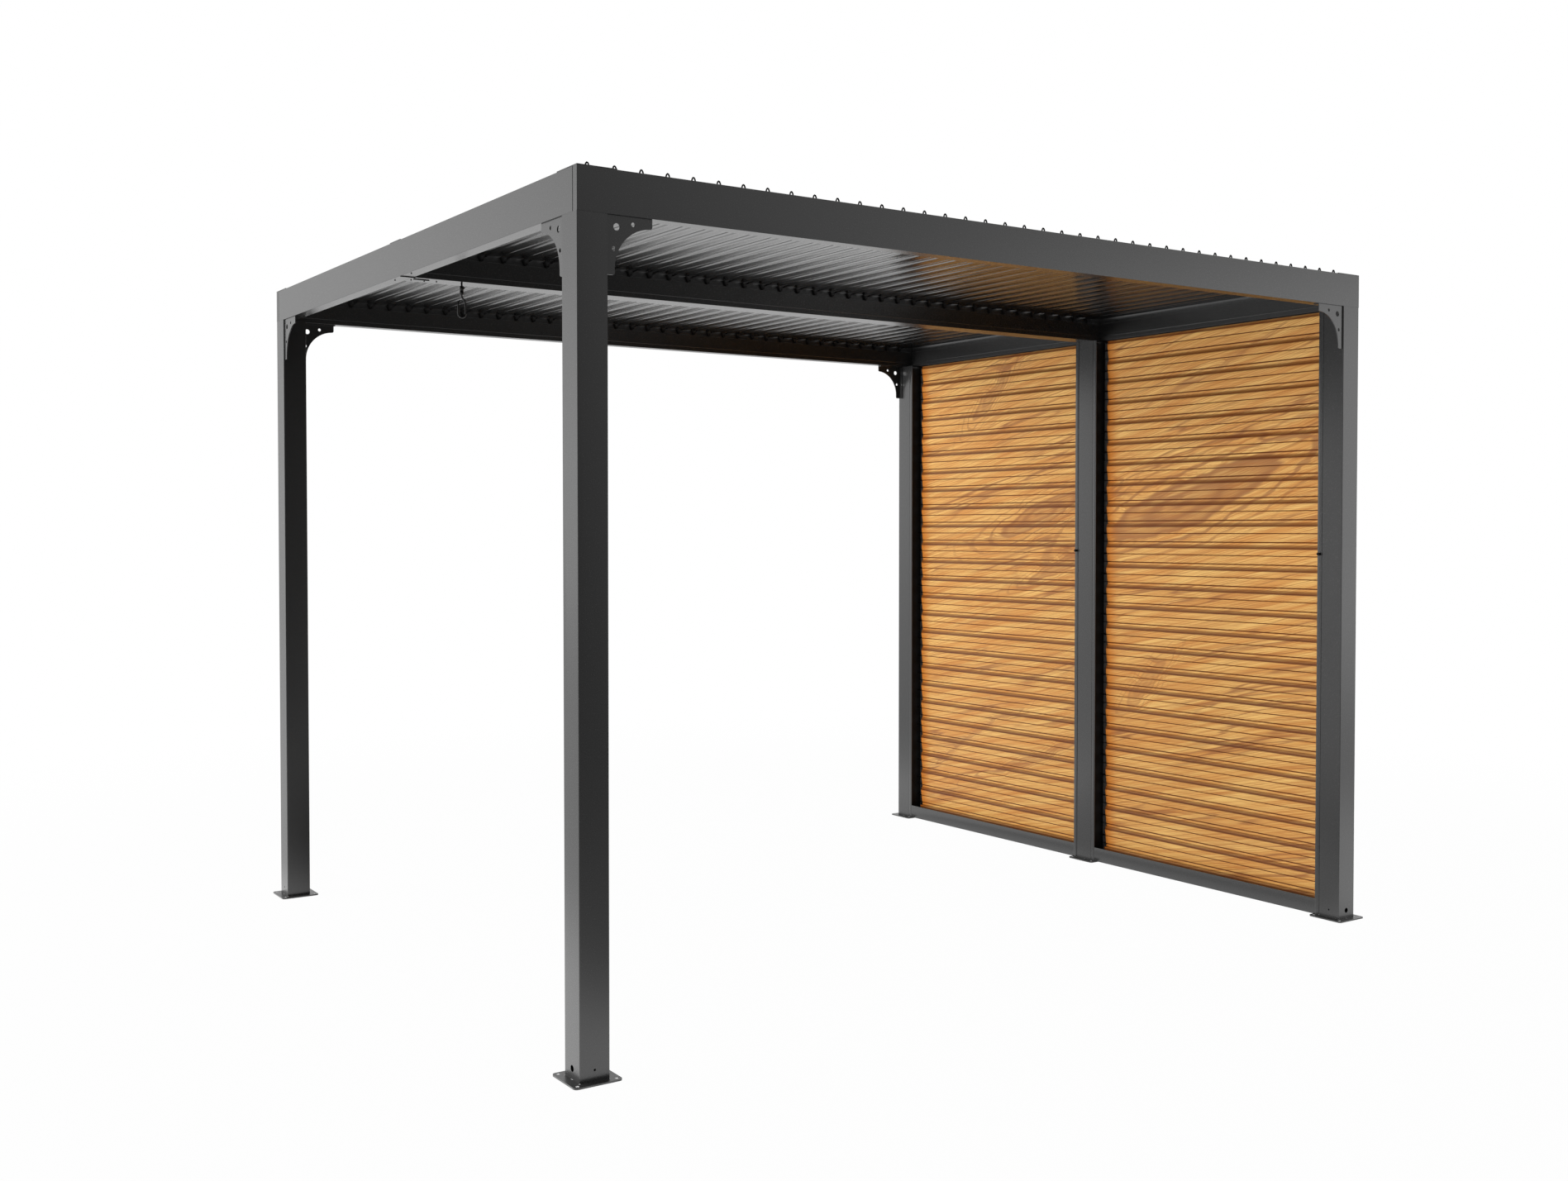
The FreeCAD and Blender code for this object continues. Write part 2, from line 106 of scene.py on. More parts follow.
# The same paint over cut steel sheet, a little rougher and more uneven
plateCoat = coating("powder_coat_on_steel_plate", {
    "dark": "#262626", "light": "#2e2e2e", "rough": 0.33, "ior": 1.60, "bump": 0.20,
    "grainSize": 0.0030, "cloudSize": 0.08})
# Moulded polyamide of hooks, pins, seals and knobs: matt black, with the fine texture of the mould
blackPlastic = coating("moulded_black_polyamide", {
    "dark": "#0c0c0c", "light": "#111111", "rough": 0.55, "ior": 1.30, "bump": 0.30,
    "grainSize": 0.0020, "cloudSize": 0.02})
# Dip-coated steel wire of the crank: smooth black lacquer with a thin light rim
blackSteel = coating("black_dip_coated_steel", {
    "dark": "#070707", "light": "#0b0b0b", "rough": 0.24, "ior": 1.42, "bump": 0.10,
    "grainSize": 0.0015, "cloudSize": 0.02})
# Dense nylon bristle of a brush seal: pale grey and dull
sealFibre = coating("grey_nylon_brush_seal", {
    "dark": "#8e9193", "light": "#a2a5a7", "rough": 0.55, "ior": 1.40, "bump": 0.30,
    "grainSize": 0.0020, "cloudSize": 0.05})


def zincPaintedBright(name, settings):
    material, tree, output = newMaterial(name)
    spot = addNode(tree, "TexCoord").outputs["Object"]
    brushed = addNode(tree, "TexNoise", {"Scale": 1 / settings["brushSize"], "Detail": 2.0},
                      {"Vector": spot}).outputs["Fac"]
    metal = addNode(tree, "Mix", {"A": linearColour(settings["dark"]), "B": linearColour(settings["light"])},
                    {"Factor": brushed}, data_type="RGBA").outputs[2]
    shader = addNode(tree, "BsdfPrincipled", {"Metallic": settings["metallic"], "Roughness": settings["rough"]},
                     {"Base Color": metal})
    tree.links.new(shader.outputs[0], output.inputs[0])
    return material


# Zinc-plated steel on the walls of the drilled holes, lightly brushed, and painted pale and bright to stand in for the
# light that shows in the holes. The marks are 0.1 mm wide on real steel, drawn 2.5 mm wide to show in the render
zincWallsPaintedLight = zincPaintedBright("zinc_steel_painted_light", {
    "dark": "#dcdcdc", "light": "#f0f0f0", "metallic": 0.6, "rough": 0.4, "brushSize": 0.0025})

# Wood-effect coating: an oak grain printed and baked into the coating, one picture over all the blades of a bay.
# It gives satin boards with fine brown streaks, and dark flames that run on from blade to blade
woodLook = {
    "light": "#edc073", "mid": "#d99f57", "streak": "#ab6530", "vein": "#8a5634", "figure": "#9a673e",
    # the last colour, shade, is painted shade for the stepped edges and grooves
    "endTint": "#bb6a20", "shade": "#5c2a0a",
    "rough": 0.46, "roughSpread": 0.07, "ior": 1.42, "bump": {"Strength": 0.15, "Distance": 0.0002},
    "slopeDeg": 12.0,            # grain climbs towards the front post
    # of each grain: waves a metre along and across the print, detail, and roughness of the noise
    "broadGrain": ((1.5, 26.0, 1.0), 2.0, 0.55),         # streaks 35 mm wide
    "narrowGrain": ((3.0, 260.0, 1.0), 3.0, 0.65),       # streaks 4 mm wide
    "veinGrain": ((0.8, 15.0, 1.0), 2.5, 0.55),          # veins follow the contours of this one
    "gateGrain": ((1.3, 5.0, 1.0), 1.0, 0.55),           # where veins show
    "raggedGrain": ((3.0, 45.0, 1.0), 3.0, 0.55),        # frays the rims of the flames
    "lineGrain": ((0.0, 3.0, 330.0), 2.0, 0.5),          # print lines along the blades, 3 mm apart
    "broadRange": {"From Min": 0.34, "From Max": 0.66},
    "narrowRange": {"From Min": 0.38, "From Max": 0.66},
    "veinRange": {"From Min": 0.030, "From Max": 0.0, "To Max": 0.75},
    "gateRange": {"From Min": 0.40, "From Max": 0.62},
    "lineRange": {"From Min": 0.46, "From Max": 0.72, "To Max": 0.50},
    "narrowShare": 0.66, "figureShare": 0.88, "raggedShare": 0.22,
    # the print wanders by up to half of this along Y and Z, and bends the grain a little
    "wanderScale": 2.2, "wander": (0.0, 0.24, 0.10), "bendScale": 1.3, "bend": 0.06, "hillShare": 0.9,
    # centre along Y and Z, half length, half width, tilt and darkness of each flame in the grain
    "flames": [
        (-0.549, 1.640, 0.490, 0.092, 18.0, 1.0),
        (0.350, 1.585, 0.290, 0.052, 17.0, 0.95),
        (0.450, 1.520, 0.330, 0.012, 9.0, 0.7),
        (0.230, 1.335, 0.210, 0.030, 18.0, 0.8),
        (0.380, 0.420, 0.330, 0.024, 20.0, 0.7),
        (0.700, 2.200, 0.180, 0.034, 42.0, 0.7),
        (-0.330, 0.840, 0.150, 0.034, 42.0, 0.5),
        (0.820, 0.490, 0.260, 0.012, 28.0, 0.6),
        (-0.700, 2.200, 0.420, 0.010, 20.0, 0.6),
    ],
    # ranges of a flame, in half widths from its middle; it is so deep along X that every blade cuts it alike
    "flameDepth": 1000.0, "bellRange": {"From Min": 2.5, "From Max": 0.4},
    "rimRange": {"From Min": 1.20, "From Max": 1.08}, "ringRange": {"From Min": 3.2, "From Max": 1.0},
    # rings: radians in a half width, strength, and which part of a wave is a line or a band
    "ringTurns": 13.46, "ringShare": 0.95, "ringLine": {"From Min": 0.55, "From Max": 0.95},
    "bandRange": {"From Min": -1.0, "From Max": 1.0, "To Min": 0.50},
    # ends of the two panels along Y, where the print is deeper over the last 90 mm
    "panelEnds": [-0.0795, 1.2615], "endReach": 0.090, "endShare": 0.85, "endPast": 0.01,
    # painted shade: the print is darkened in the stepped upper edge and in the two grooves of each blade, where shade
    # falls
    "topZ": 2.371, "pitch": 0.0921,
    "paintedShadeSteps": [(0.0, 0.55), (0.06, 0.78), (0.130, 0.98), (0.165, 0.15), (0.20, 0.0), (0.428, 0.0), (0.438, 0.95),
                   (0.470, 0.95), (0.480, 0.0), (0.820, 0.0), (0.832, 0.98), (0.872, 0.95), (0.888, 0.0), (0.945, 0.0),
                   (1.0, 0.55)],
}


def woodGrain(tree, place, grain):
    scales, detail, rough = grain
    place = addNode(tree, "VectorMath", {1: scales}, {0: place}, operation="MULTIPLY").outputs[0]
    return addNode(tree, "TexNoise", {"Scale": 1.0, "Detail": detail, "Roughness": rough},
                   {"Vector": place}).outputs["Fac"]


def woodFlames(tree, spot, ragged, settings):
    # each flame has a dark rim, is banded inside, and has thin rings around it that fade outwards
    hill, dark = None, None
    for middleY, middleZ, halfLength, halfWidth, tilt, strength in settings["flames"]:
        local = addNode(tree, "Mapping", {"Location": (0, middleY, middleZ), "Rotation": (-math.radians(tilt), 0, 0),
                                          "Scale": (settings["flameDepth"], halfLength, halfWidth)}, {"Vector": spot},
                        vector_type="TEXTURE").outputs[0]
        reach = addNode(tree, "VectorMath", links={0: local}, operation="LENGTH").outputs["Value"]
        reach = addNode(tree, "Math", {1: settings["raggedShare"]}, {0: ragged, 2: reach},
                        operation="MULTIPLY_ADD").outputs[0]
        bell = addNode(tree, "MapRange", {**settings["bellRange"], "To Max": halfWidth}, {"Value": reach},
                       interpolation_type="SMOOTHSTEP").outputs[0]
        wave = addNode(tree, "Math", {1: settings["ringTurns"]}, {0: reach}, operation="MULTIPLY").outputs[0]
        wave = addNode(tree, "Math", links={0: wave}, operation="SINE").outputs[0]
        band = addNode(tree, "MapRange", settings["bandRange"], {"Value": wave}).outputs[0]
        inside = addNode(tree, "MapRange", {**settings["rimRange"], "To Max": strength}, {"Value": reach},
                         interpolation_type="SMOOTHSTEP").outputs[0]
        inside = addNode(tree, "Math", links={0: inside, 1: band}, operation="MULTIPLY").outputs[0]
        line = addNode(tree, "MapRange", settings["ringLine"], {"Value": wave},
                       interpolation_type="SMOOTHSTEP").outputs[0]
        around = addNode(tree, "MapRange", {**settings["ringRange"], "To Max": settings["ringShare"] * strength},
                         {"Value": reach}, interpolation_type="SMOOTHSTEP").outputs[0]
        around = addNode(tree, "Math", links={0: line, 1: around}, operation="MULTIPLY").outputs[0]
        flame = addNode(tree, "Math", links={0: inside, 1: around}, operation="MAXIMUM").outputs[0]
        hill = bell if hill is None else addNode(tree, "Math", links={0: hill, 1: bell}, operation="ADD").outputs[0]
        dark = flame if dark is None else addNode(tree, "Math", links={0: dark, 1: flame},
                                                  operation="MAXIMUM").outputs[0]
    return hill, dark


def panelEndTint(tree, placeY, settings):
    tint = None
    for end in settings["panelEnds"]:
        start = addNode(tree, "MapRange", {"From Min": end - settings["endReach"], "From Max": end,
                                           "To Max": settings["endShare"]}, {"Value": placeY},
                        interpolation_type="SMOOTHSTEP").outputs[0]
        inside = addNode(tree, "Math", {1: end + settings["endPast"]}, {0: placeY}, operation="LESS_THAN").outputs[0]
        both = addNode(tree, "Math", links={0: start, 1: inside}, operation="MULTIPLY").outputs[0]
        tint = both if tint is None else addNode(tree, "Math", links={0: tint, 1: both}, operation="MAXIMUM").outputs[0]
    return tint


def paintedGrooveShade(tree, placeZ, settings):
    # painted shade: a ramp over each blade's pitch darkens the print in the stepped edge and the two grooves
    below = addNode(tree, "Math", {0: settings["topZ"]}, {1: placeZ}, operation="SUBTRACT").outputs[0]
    turns = addNode(tree, "Math", {1: settings["pitch"]}, {0: below}, operation="DIVIDE").outputs[0]
    phase = addNode(tree, "Math", links={0: turns}, operation="FRACT").outputs[0]
    profile = addNode(tree, "ValToRGB", links={0: phase})
    stops = profile.color_ramp.elements
    for place, level in settings["paintedShadeSteps"][1:-1]:
        stops.new(place)
    for stop, (place, level) in zip(stops, settings["paintedShadeSteps"]):
        stop.position, stop.color = place, (level, level, level, 1)
    return profile.outputs[0]


def woodCoating(name, settings):
    material, tree, output = newMaterial(name)
    spot = addNode(tree, "TexCoord").outputs["Object"]
    slope = math.radians(settings["slopeDeg"])
    along = addNode(tree, "VectorMath", {1: (0, -math.cos(slope), math.sin(slope))}, {0: spot},
                    operation="DOT_PRODUCT").outputs["Value"]
    across = addNode(tree, "VectorMath", {1: (0, math.sin(slope), math.cos(slope))}, {0: spot},
                     operation="DOT_PRODUCT").outputs["Value"]
    straight = addNode(tree, "CombineXYZ", links={"X": along, "Y": across}).outputs[0]
    ragged = woodGrain(tree, straight, settings["raggedGrain"])
    wander = settings["wander"]
    drift = addNode(tree, "TexNoise", {"Scale": settings["wanderScale"], "Detail": 3.0, "Roughness": 0.6},
                    {"Vector": spot}).outputs["Color"]
    drift = addNode(tree, "VectorMath", {1: wander, 2: [-step / 2 for step in wander]}, {0: drift},
                    operation="MULTIPLY_ADD").outputs[0]
    drifted = addNode(tree, "VectorMath", links={0: spot, 1: drift}, operation="ADD").outputs[0]
    hill, dark = woodFlames(tree, drifted, ragged, settings)
    bend = addNode(tree, "TexNoise", {"Scale": settings["bendScale"], "Detail": 1.5}, {"Vector": spot}).outputs["Fac"]
    across = addNode(tree, "Math", {1: settings["bend"]}, {0: bend, 2: across}, operation="MULTIPLY_ADD").outputs[0]
    across = addNode(tree, "Math", {1: settings["hillShare"]}, {0: hill, 2: across},
                     operation="MULTIPLY_ADD").outputs[0]
    bent = addNode(tree, "CombineXYZ", links={"X": along, "Y": across}).outputs[0]
    broad = addNode(tree, "MapRange", settings["broadRange"], {"Value": woodGrain(tree, bent, settings["broadGrain"])},
                    interpolation_type="SMOOTHSTEP").outputs[0]
    narrow = addNode(tree, "MapRange", settings["narrowRange"],
                     {"Value": woodGrain(tree, bent, settings["narrowGrain"])},
                     interpolation_type="SMOOTHSTEP").outputs[0]
    streak = addNode(tree, "Math", {1: settings["narrowShare"]}, {0: narrow}, operation="MULTIPLY").outputs[0]
    # a vein lies where its grain is near its middle value
    contour = addNode(tree, "Math", {1: 0.5}, {0: woodGrain(tree, bent, settings["veinGrain"])},
                      operation="SUBTRACT").outputs[0]
    contour = addNode(tree, "Math", links={0: contour}, operation="ABSOLUTE").outputs[0]
    vein = addNode(tree, "MapRange", settings["veinRange"], {"Value": contour},
                   interpolation_type="SMOOTHSTEP").outputs[0]
    gate = addNode(tree, "MapRange", settings["gateRange"], {"Value": woodGrain(tree, bent, settings["gateGrain"])},
                   interpolation_type="SMOOTHSTEP").outputs[0]
    vein = addNode(tree, "Math", links={0: vein, 1: gate}, operation="MULTIPLY").outputs[0]
    figure = addNode(tree, "Math", {1: settings["figureShare"]}, {0: dark}, operation="MULTIPLY").outputs[0]
    line = addNode(tree, "MapRange", settings["lineRange"], {"Value": woodGrain(tree, spot, settings["lineGrain"])},
                   interpolation_type="SMOOTHSTEP").outputs[0]
    parts = addNode(tree, "SeparateXYZ", links={0: spot}).outputs
    # the print is laid on in layers, from the pale board up to the painted shade in the grooves
    board = addNode(tree, "Mix", {"A": linearColour(settings["light"]), "B": linearColour(settings["mid"])},
                    {"Factor": broad}, data_type="RGBA").outputs[2]
    for share, colourName in ((streak, "streak"), (vein, "vein"), (figure, "figure"), (line, "streak"),
                              (panelEndTint(tree, parts["Y"], settings), "endTint"),
                              (paintedGrooveShade(tree, parts["Z"], settings), "shade")):
        board = addNode(tree, "Mix", {"B": linearColour(settings[colourName])}, {"Factor": share, "A": board},
                        data_type="RGBA").outputs[2]
    rough = addNode(tree, "MapRange", {"To Min": settings["rough"] - settings["roughSpread"],
                                       "To Max": settings["rough"] + settings["roughSpread"]},
                    {"Value": narrow}).outputs[0]
    bump = addNode(tree, "Bump", settings["bump"], {"Height": narrow}).outputs[0]
    shader = addNode(tree, "BsdfPrincipled", {"IOR": settings["ior"]},
                     {"Base Color": board, "Roughness": rough, "Normal": bump})
    tree.links.new(shader.outputs[0], output.inputs[0])
    return material


woodCoat = woodCoating("wood_effect_coating_oak", woodLook)
print("stage: materials made")

# Finish of each CAD node, by the start of its name; posts, beams, caps, gussets and channels have the frame's
finishes = [("roof_blade", bladeCoat), ("wall_blades", woodCoat), ("foot_plates", plateCoat),
            ("wall_knobs", blackPlastic), ("crank_", blackSteel)]
for nodeName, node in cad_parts.items():
    node.data.materials.clear()
    node.data.materials.append(next((coat for start, coat in finishes if nodeName.startswith(start)), frameCoat))
print("stage: CAD nodes dressed")

shading = {"roundDeg": 32, "evenDeg": 50}        # sharper edges than this stay sharp


# Shapes below are in millimetres in the part's frame, and finishPiece turns them into metres
def finishPiece(name, shape, material, body="frame", stands=(), unit=0.001, evenFaces=False,
                sharpDeg=shading["roundDeg"]):
    bmesh.ops.scale(shape, vec=(unit, unit, unit), verts=shape.verts)
    bmesh.ops.recalc_face_normals(shape, faces=shape.faces)
    mesh = bpy.data.meshes.new(name)
    shape.to_mesh(mesh)
    shape.free()
    mesh.shade_smooth()
    mesh.set_sharp_from_angle(angle=math.radians(shading["evenDeg"] if evenFaces else sharpDeg))
    mesh.materials.append(material)
    piece = bpy.data.objects.new(name, mesh)
    bpy.context.scene.collection.objects.link(piece)
    if evenFaces:
        # flat faces stay flat, and only the small radii between them are shaded round
        even = piece.modifiers.new("evenFaces", "WEIGHTED_NORMAL")
        even.keep_sharp = True
    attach(piece, body)
    if stands:
        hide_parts(*stands)


def addPart(shape, part):
    spare = bpy.data.meshes.new("spare")
    part.to_mesh(spare)
    part.free()
    shape.from_mesh(spare)
    bpy.data.meshes.remove(spare)


def push(part, vector):
    # turns the flat faces of a part into a solid
    raised = bmesh.ops.extrude_face_region(part, geom=part.faces[:])
    bmesh.ops.translate(part, vec=vector, verts=[v for v in raised["geom"] if isinstance(v, bmesh.types.BMVert)])


def bar(shape, outline, start, end, soften=0.0):
    # outline in X and Z, pushed along Y
    part = bmesh.new()
    part.faces.new([part.verts.new((x, start, z)) for x, z in outline])
    if soften:
        bmesh.ops.bevel(part, geom=part.verts[:], offset=soften, segments=2, profile=0.5, affect="VERTICES",
                        clamp_overlap=True, material=-1)
    push(part, (0, end - start, 0))
    addPart(shape, part)


def block(shape, low, high, soften=0.0):
    part = bmesh.new()
    size = [b - a for a, b in zip(low, high)]
    middle = [(a + b) / 2 for a, b in zip(low, high)]
    bmesh.ops.create_cube(part, size=1.0, matrix=Matrix.Translation(middle) @ Matrix.Diagonal((*size, 1)))
    if soften:
        bmesh.ops.bevel(part, geom=part.edges[:], offset=soften, segments=2, profile=0.5, affect="EDGES",
                        clamp_overlap=True, material=-1)
    addPart(shape, part)


def rod(shape, start, end, radius, sides, soften=0.0):
    start, end = Vector(start), Vector(end)
    part = bmesh.new()
    turn = (end - start).to_track_quat("Z", "Y").to_matrix().to_4x4()
    bmesh.ops.create_cone(part, cap_ends=True, segments=sides, radius1=radius, radius2=radius,
                          depth=(end - start).length, matrix=Matrix.Translation((start + end) / 2) @ turn)
    if soften:
        rims = [edge for edge in part.edges if edge.calc_face_angle() > math.radians(60)]
        bmesh.ops.bevel(part, geom=rims, offset=soften, segments=2, profile=0.5, affect="EDGES",
                        clamp_overlap=True, material=-1)
    addPart(shape, part)


def wire(shape, path, radius, sides):
    # round wire bent along a path
    points = [Vector(point) for point in path]
    runs = [(b - a).normalized() for a, b in zip(points, points[1:])]
    headings = [runs[0]] + [(a + b).normalized() for a, b in zip(runs, runs[1:])] + [runs[-1]]
    part = bmesh.new()
    turn = headings[0].to_track_quat("Z", "Y").to_matrix().to_4x4()
    bmesh.ops.create_circle(part, segments=sides, radius=radius, matrix=Matrix.Translation(points[0]) @ turn)
    edges = part.edges[:]
    bmesh.ops.contextual_create(part, geom=edges)
    for here, after, aim, nextAim in zip(points, points[1:], headings, headings[1:]):
        raised = bmesh.ops.extrude_edge_only(part, edges=edges)["geom"]
        ring = [v for v in raised if isinstance(v, bmesh.types.BMVert)]
        edges = [e for e in raised if isinstance(e, bmesh.types.BMEdge) and all(v in ring for v in e.verts)]
        step = aim.rotation_difference(nextAim).to_matrix().to_4x4()
        bmesh.ops.transform(part, matrix=Matrix.Translation(after) @ step @ Matrix.Translation(-here), verts=ring)
    bmesh.ops.contextual_create(part, geom=edges)
    addPart(shape, part)


def arc(middle, radius, startDeg, endDeg, steps):
    angles = [math.radians(startDeg + (endDeg - startDeg) * i / steps) for i in range(steps + 1)]
    return [(middle[0] + radius * math.cos(a), middle[1] + radius * math.sin(a)) for a in angles]


# Posts, beams, caps and gussets: the CAD shapes with the small radii of folded and extruded aluminium, in metres
softFrame = {
    "postRadius": 0.0022, "beamRadius": 0.0009, "capRadius": 0.0006, "gussetRadius": 0.0005,
    "longPostEdge": 1.0, "longCapEdge": 0.02,        # shorter edges keep no radius
    "mergeWithin": 0.00001, "flatDeg": 1.0, "sharpDeg": 40.0,
    # where the bore of the front and back beams lies, by its distance from the middle and its height
    "plugInner": 1.363, "plugOuter": 1.386, "plugHeights": (2.376, 2.4965),
}


def softCopy(nodeName, name, radius, shortest, settings, plugSide=0):
    shape = bmesh.new()
    shape.from_mesh(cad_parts[nodeName].data)
    bmesh.ops.remove_doubles(shape, verts=shape.verts, dist=settings["mergeWithin"])
    bmesh.ops.dissolve_limit(shape, angle_limit=math.radians(settings["flatDeg"]), verts=shape.verts, edges=shape.edges)
    if plugSide:
        # flush plugs shut the open ends of the hollow profile
        inner, outer = settings["plugInner"], settings["plugOuter"]
        low, high = settings["plugHeights"]
        hollow = [v for v in shape.verts if inner < plugSide * v.co.y < outer and low < v.co.z < high]
        bmesh.ops.delete(shape, geom=hollow, context="VERTS")
        bmesh.ops.holes_fill(shape, edges=[edge for edge in shape.edges if edge.is_boundary], sides=0)
    sharp = [edge for edge in shape.edges if len(edge.link_faces) == 2 and edge.calc_length() > shortest
             and edge.calc_face_angle() > math.radians(settings["sharpDeg"])]
    bmesh.ops.bevel(shape, geom=sharp, offset=radius, segments=2, profile=0.5, affect="EDGES", clamp_overlap=True,
                    material=-1)
    finishPiece(name, shape, frameCoat, "frame", [nodeName], unit=1.0, evenFaces=True)


for corner in ("front_left", "front_right", "back_left", "back_right", "wall_middle"):
    softCopy("post_" + corner, "post_" + corner + "_shell", softFrame["postRadius"], softFrame["longPostEdge"],
             softFrame)
for side, plugSide in (("front", -1), ("back", 1), ("left", 0), ("right", 0), ("middle", 0)):
    softCopy("beam_" + side, "beam_" + side + "_shell", softFrame["beamRadius"], softFrame["longPostEdge"], softFrame,
             plugSide)
softCopy("joint_caps", "joint_caps_shell", softFrame["capRadius"], softFrame["longCapEdge"], softFrame)
softCopy("gussets", "gusset_plates", softFrame["gussetRadius"], 0.0, softFrame)

# Black strips painted as the shade in the gaps of the beam joints and in the grooves beside the middle post of the
# wall, and, under the left end of the middle beam, black strips painted as the shade in two joint lines, and the screw
# heads
joints = {
    "sides": 1673.15, "depth": 12.0, "from": 1359.6, "to": 1363.4, "low": 2375.8, "high": 2497.0,
    "grooveFace": 1581.0, "grooveAt": 46.2, "grooveHalf": 0.5, "grooveProud": 0.15, "grooveDeep": 1.0,
    "grooveLow": 8.0, "grooveHigh": 2374.0,
    # start and end along X and middle along Y of each line, and the places of the screws
    "lines": [(-1673, -1619, -49), (-1613, -1556, -14)], "lineHalf": 0.9, "underLow": 2372.4, "underHigh": 2375.6,
    "screws": [(-1662, -125), (-1656, 46), (-1612, 11), (-1564, 14), (-1525, 0)], "screwRadius": 2.3,
}


def jointShadeStripsAndScrews(settings):
    shape = bmesh.new()
    # black strips painted as the shade in the gaps of the four beam joints
    for signX in (-1, 1):
        for signY in (-1, 1):
            nearX, farX = sorted((signX * (settings["sides"] - settings["depth"]), signX * settings["sides"]))
            nearY, farY = sorted((signY * settings["from"], signY * settings["to"]))
            block(shape, (nearX, nearY, settings["low"]), (farX, farY, settings["high"]))
    # black strips standing on the middle post, painted as the shade in its two grooves
    for sign in (-1, 1):
        middle, half, face = sign * settings["grooveAt"], settings["grooveHalf"], settings["grooveFace"]
        block(shape, (face - settings["grooveProud"], middle - half, settings["grooveLow"]),
              (face + settings["grooveDeep"], middle + half, settings["grooveHigh"]))
    # black strips painted as the shade in the joint lines under the beam, and the screw heads
    low, high, half = settings["underLow"], settings["underHigh"], settings["lineHalf"]
    for start, end, middle in settings["lines"]:
        block(shape, (start, middle - half, low), (end, middle + half, high))
    for x, y in settings["screws"]:
        rod(shape, (x, y, low), (x, y, high), settings["screwRadius"], 12)
    return shape


finishPiece("joint_shade_strips_and_screws", jointShadeStripsAndScrews(joints), blackPlastic)
print("stage: frame shells built")

# Foot plates: 5 mm sheet, with a slit for the post's tab and a relief hole at the corner of the post
feet = {
    "places": [(-1627, -1341, "x"), (-1627, 1341, "x"), (1627, -1341, "y"), (1627, 1341, "x"), (1627, 0, "x")],
    "half": 74.0, "cornerRadius": 12.0, "thickness": 5.0, "edgeRadius": 0.5, "postHalf": 46.0,
    "boltAt": 60.0, "boltRadius": 5.5, "reliefPast": 0.6, "reliefRadius": 3.0, "holeSides": 20,
    "slitLength": 13.0, "slitWidth": 3.4, "slitUnder": 0.4,        # the slit starts a little under the post
    "sleeve": 0.5, "sleeveLow": 0.2, "sleeveHigh": 4.7,
}


def plateOpenings(slitAxis, settings):
    # place, half size along X and Y, and number of sides of each hole and slit in a plate
    openings = []
    for signX in (-1, 1):
        for signY in (-1, 1):
            for place, radius in ((settings["boltAt"], settings["boltRadius"]),
                                  (settings["postHalf"] + settings["reliefPast"], settings["reliefRadius"])):
                openings.append((signX * place, signY * place, radius, radius, settings["holeSides"]))
    long, short = settings["slitLength"] / 2, settings["slitWidth"] / 2
    for sign in (-1, 1):
        place = sign * (settings["postHalf"] + short - settings["slitUnder"])
        openings.append((place, 0, short, long, 4) if slitAxis == "x" else (0, place, long, short, 4))
    return openings


def openingRing(part, middle, opening, less=0.0, height=0.0):
    # a slit is a circle with four corners, turned and stretched into a rectangle
    x, y, halfX, halfY, sides = opening
    turn, reach = (math.radians(45), math.sqrt(2)) if sides == 4 else (0.0, 1.0)
    spread = Matrix.Diagonal(((halfX - less) * reach, (halfY - less) * reach, 1, 1))
    bmesh.ops.create_circle(part, segments=sides, radius=1.0, matrix=Matrix.Translation(
        (middle[0] + x, middle[1] + y, height)) @ spread @ Matrix.Rotation(turn, 4, "Z"))


def footPlate(shape, middle, openings, settings):
    part = bmesh.new()
    reach = settings["half"] - settings["cornerRadius"]
    outline = []
    for quarter, (signX, signY) in enumerate(((1, 1), (-1, 1), (-1, -1), (1, -1))):
        outline += arc((middle[0] + signX * reach, middle[1] + signY * reach), settings["cornerRadius"],
                       90 * quarter, 90 * quarter + 90, 6)
    corners = [part.verts.new((x, y, 0)) for x, y in outline]
    for here, after in zip(corners, corners[1:] + corners[:1]):
        part.edges.new((here, after))
    for opening in openings:
        openingRing(part, middle, opening)
    bmesh.ops.triangle_fill(part, use_beauty=True, use_dissolve=False, edges=part.edges[:])
    push(part, (0, 0, settings["thickness"]))
    bmesh.ops.dissolve_limit(part, angle_limit=math.radians(1), verts=part.verts, edges=part.edges)
    rims = [edge for edge in part.edges if edge.calc_face_angle(0) > math.radians(60)
            and all(vert.co.z > settings["thickness"] - 0.01 for vert in edge.verts)]
    bmesh.ops.bevel(part, geom=rims, offset=settings["edgeRadius"], segments=2, profile=0.5, affect="EDGES",
                    clamp_overlap=True, material=-1)
    addPart(shape, part)


def holeSleeves(shape, middle, openings, settings):
    # walls of the holes, as thin sleeves, painted bright as the light that shows in the holes
    for opening in openings:
        part = bmesh.new()
        for less in (0.0, settings["sleeve"]):
            openingRing(part, middle, opening, less, settings["sleeveLow"])
        bmesh.ops.triangle_fill(part, use_beauty=True, use_dissolve=False, edges=part.edges[:])
        push(part, (0, 0, settings["sleeveHigh"] - settings["sleeveLow"]))
        addPart(shape, part)


plateShape, sleeveShape = bmesh.new(), bmesh.new()
for footX, footY, slitAxis in feet["places"]:
    openings = plateOpenings(slitAxis, feet)
    footPlate(plateShape, (footX, footY), openings, feet)
    holeSleeves(sleeveShape, (footX, footY), openings, feet)
finishPiece("foot_plates_cut", plateShape, plateCoat, stands=["foot_plates"], evenFaces=True)
finishPiece("foot_hole_walls", sleeveShape, zincWallsPaintedLight)
print("stage: foot plates built")

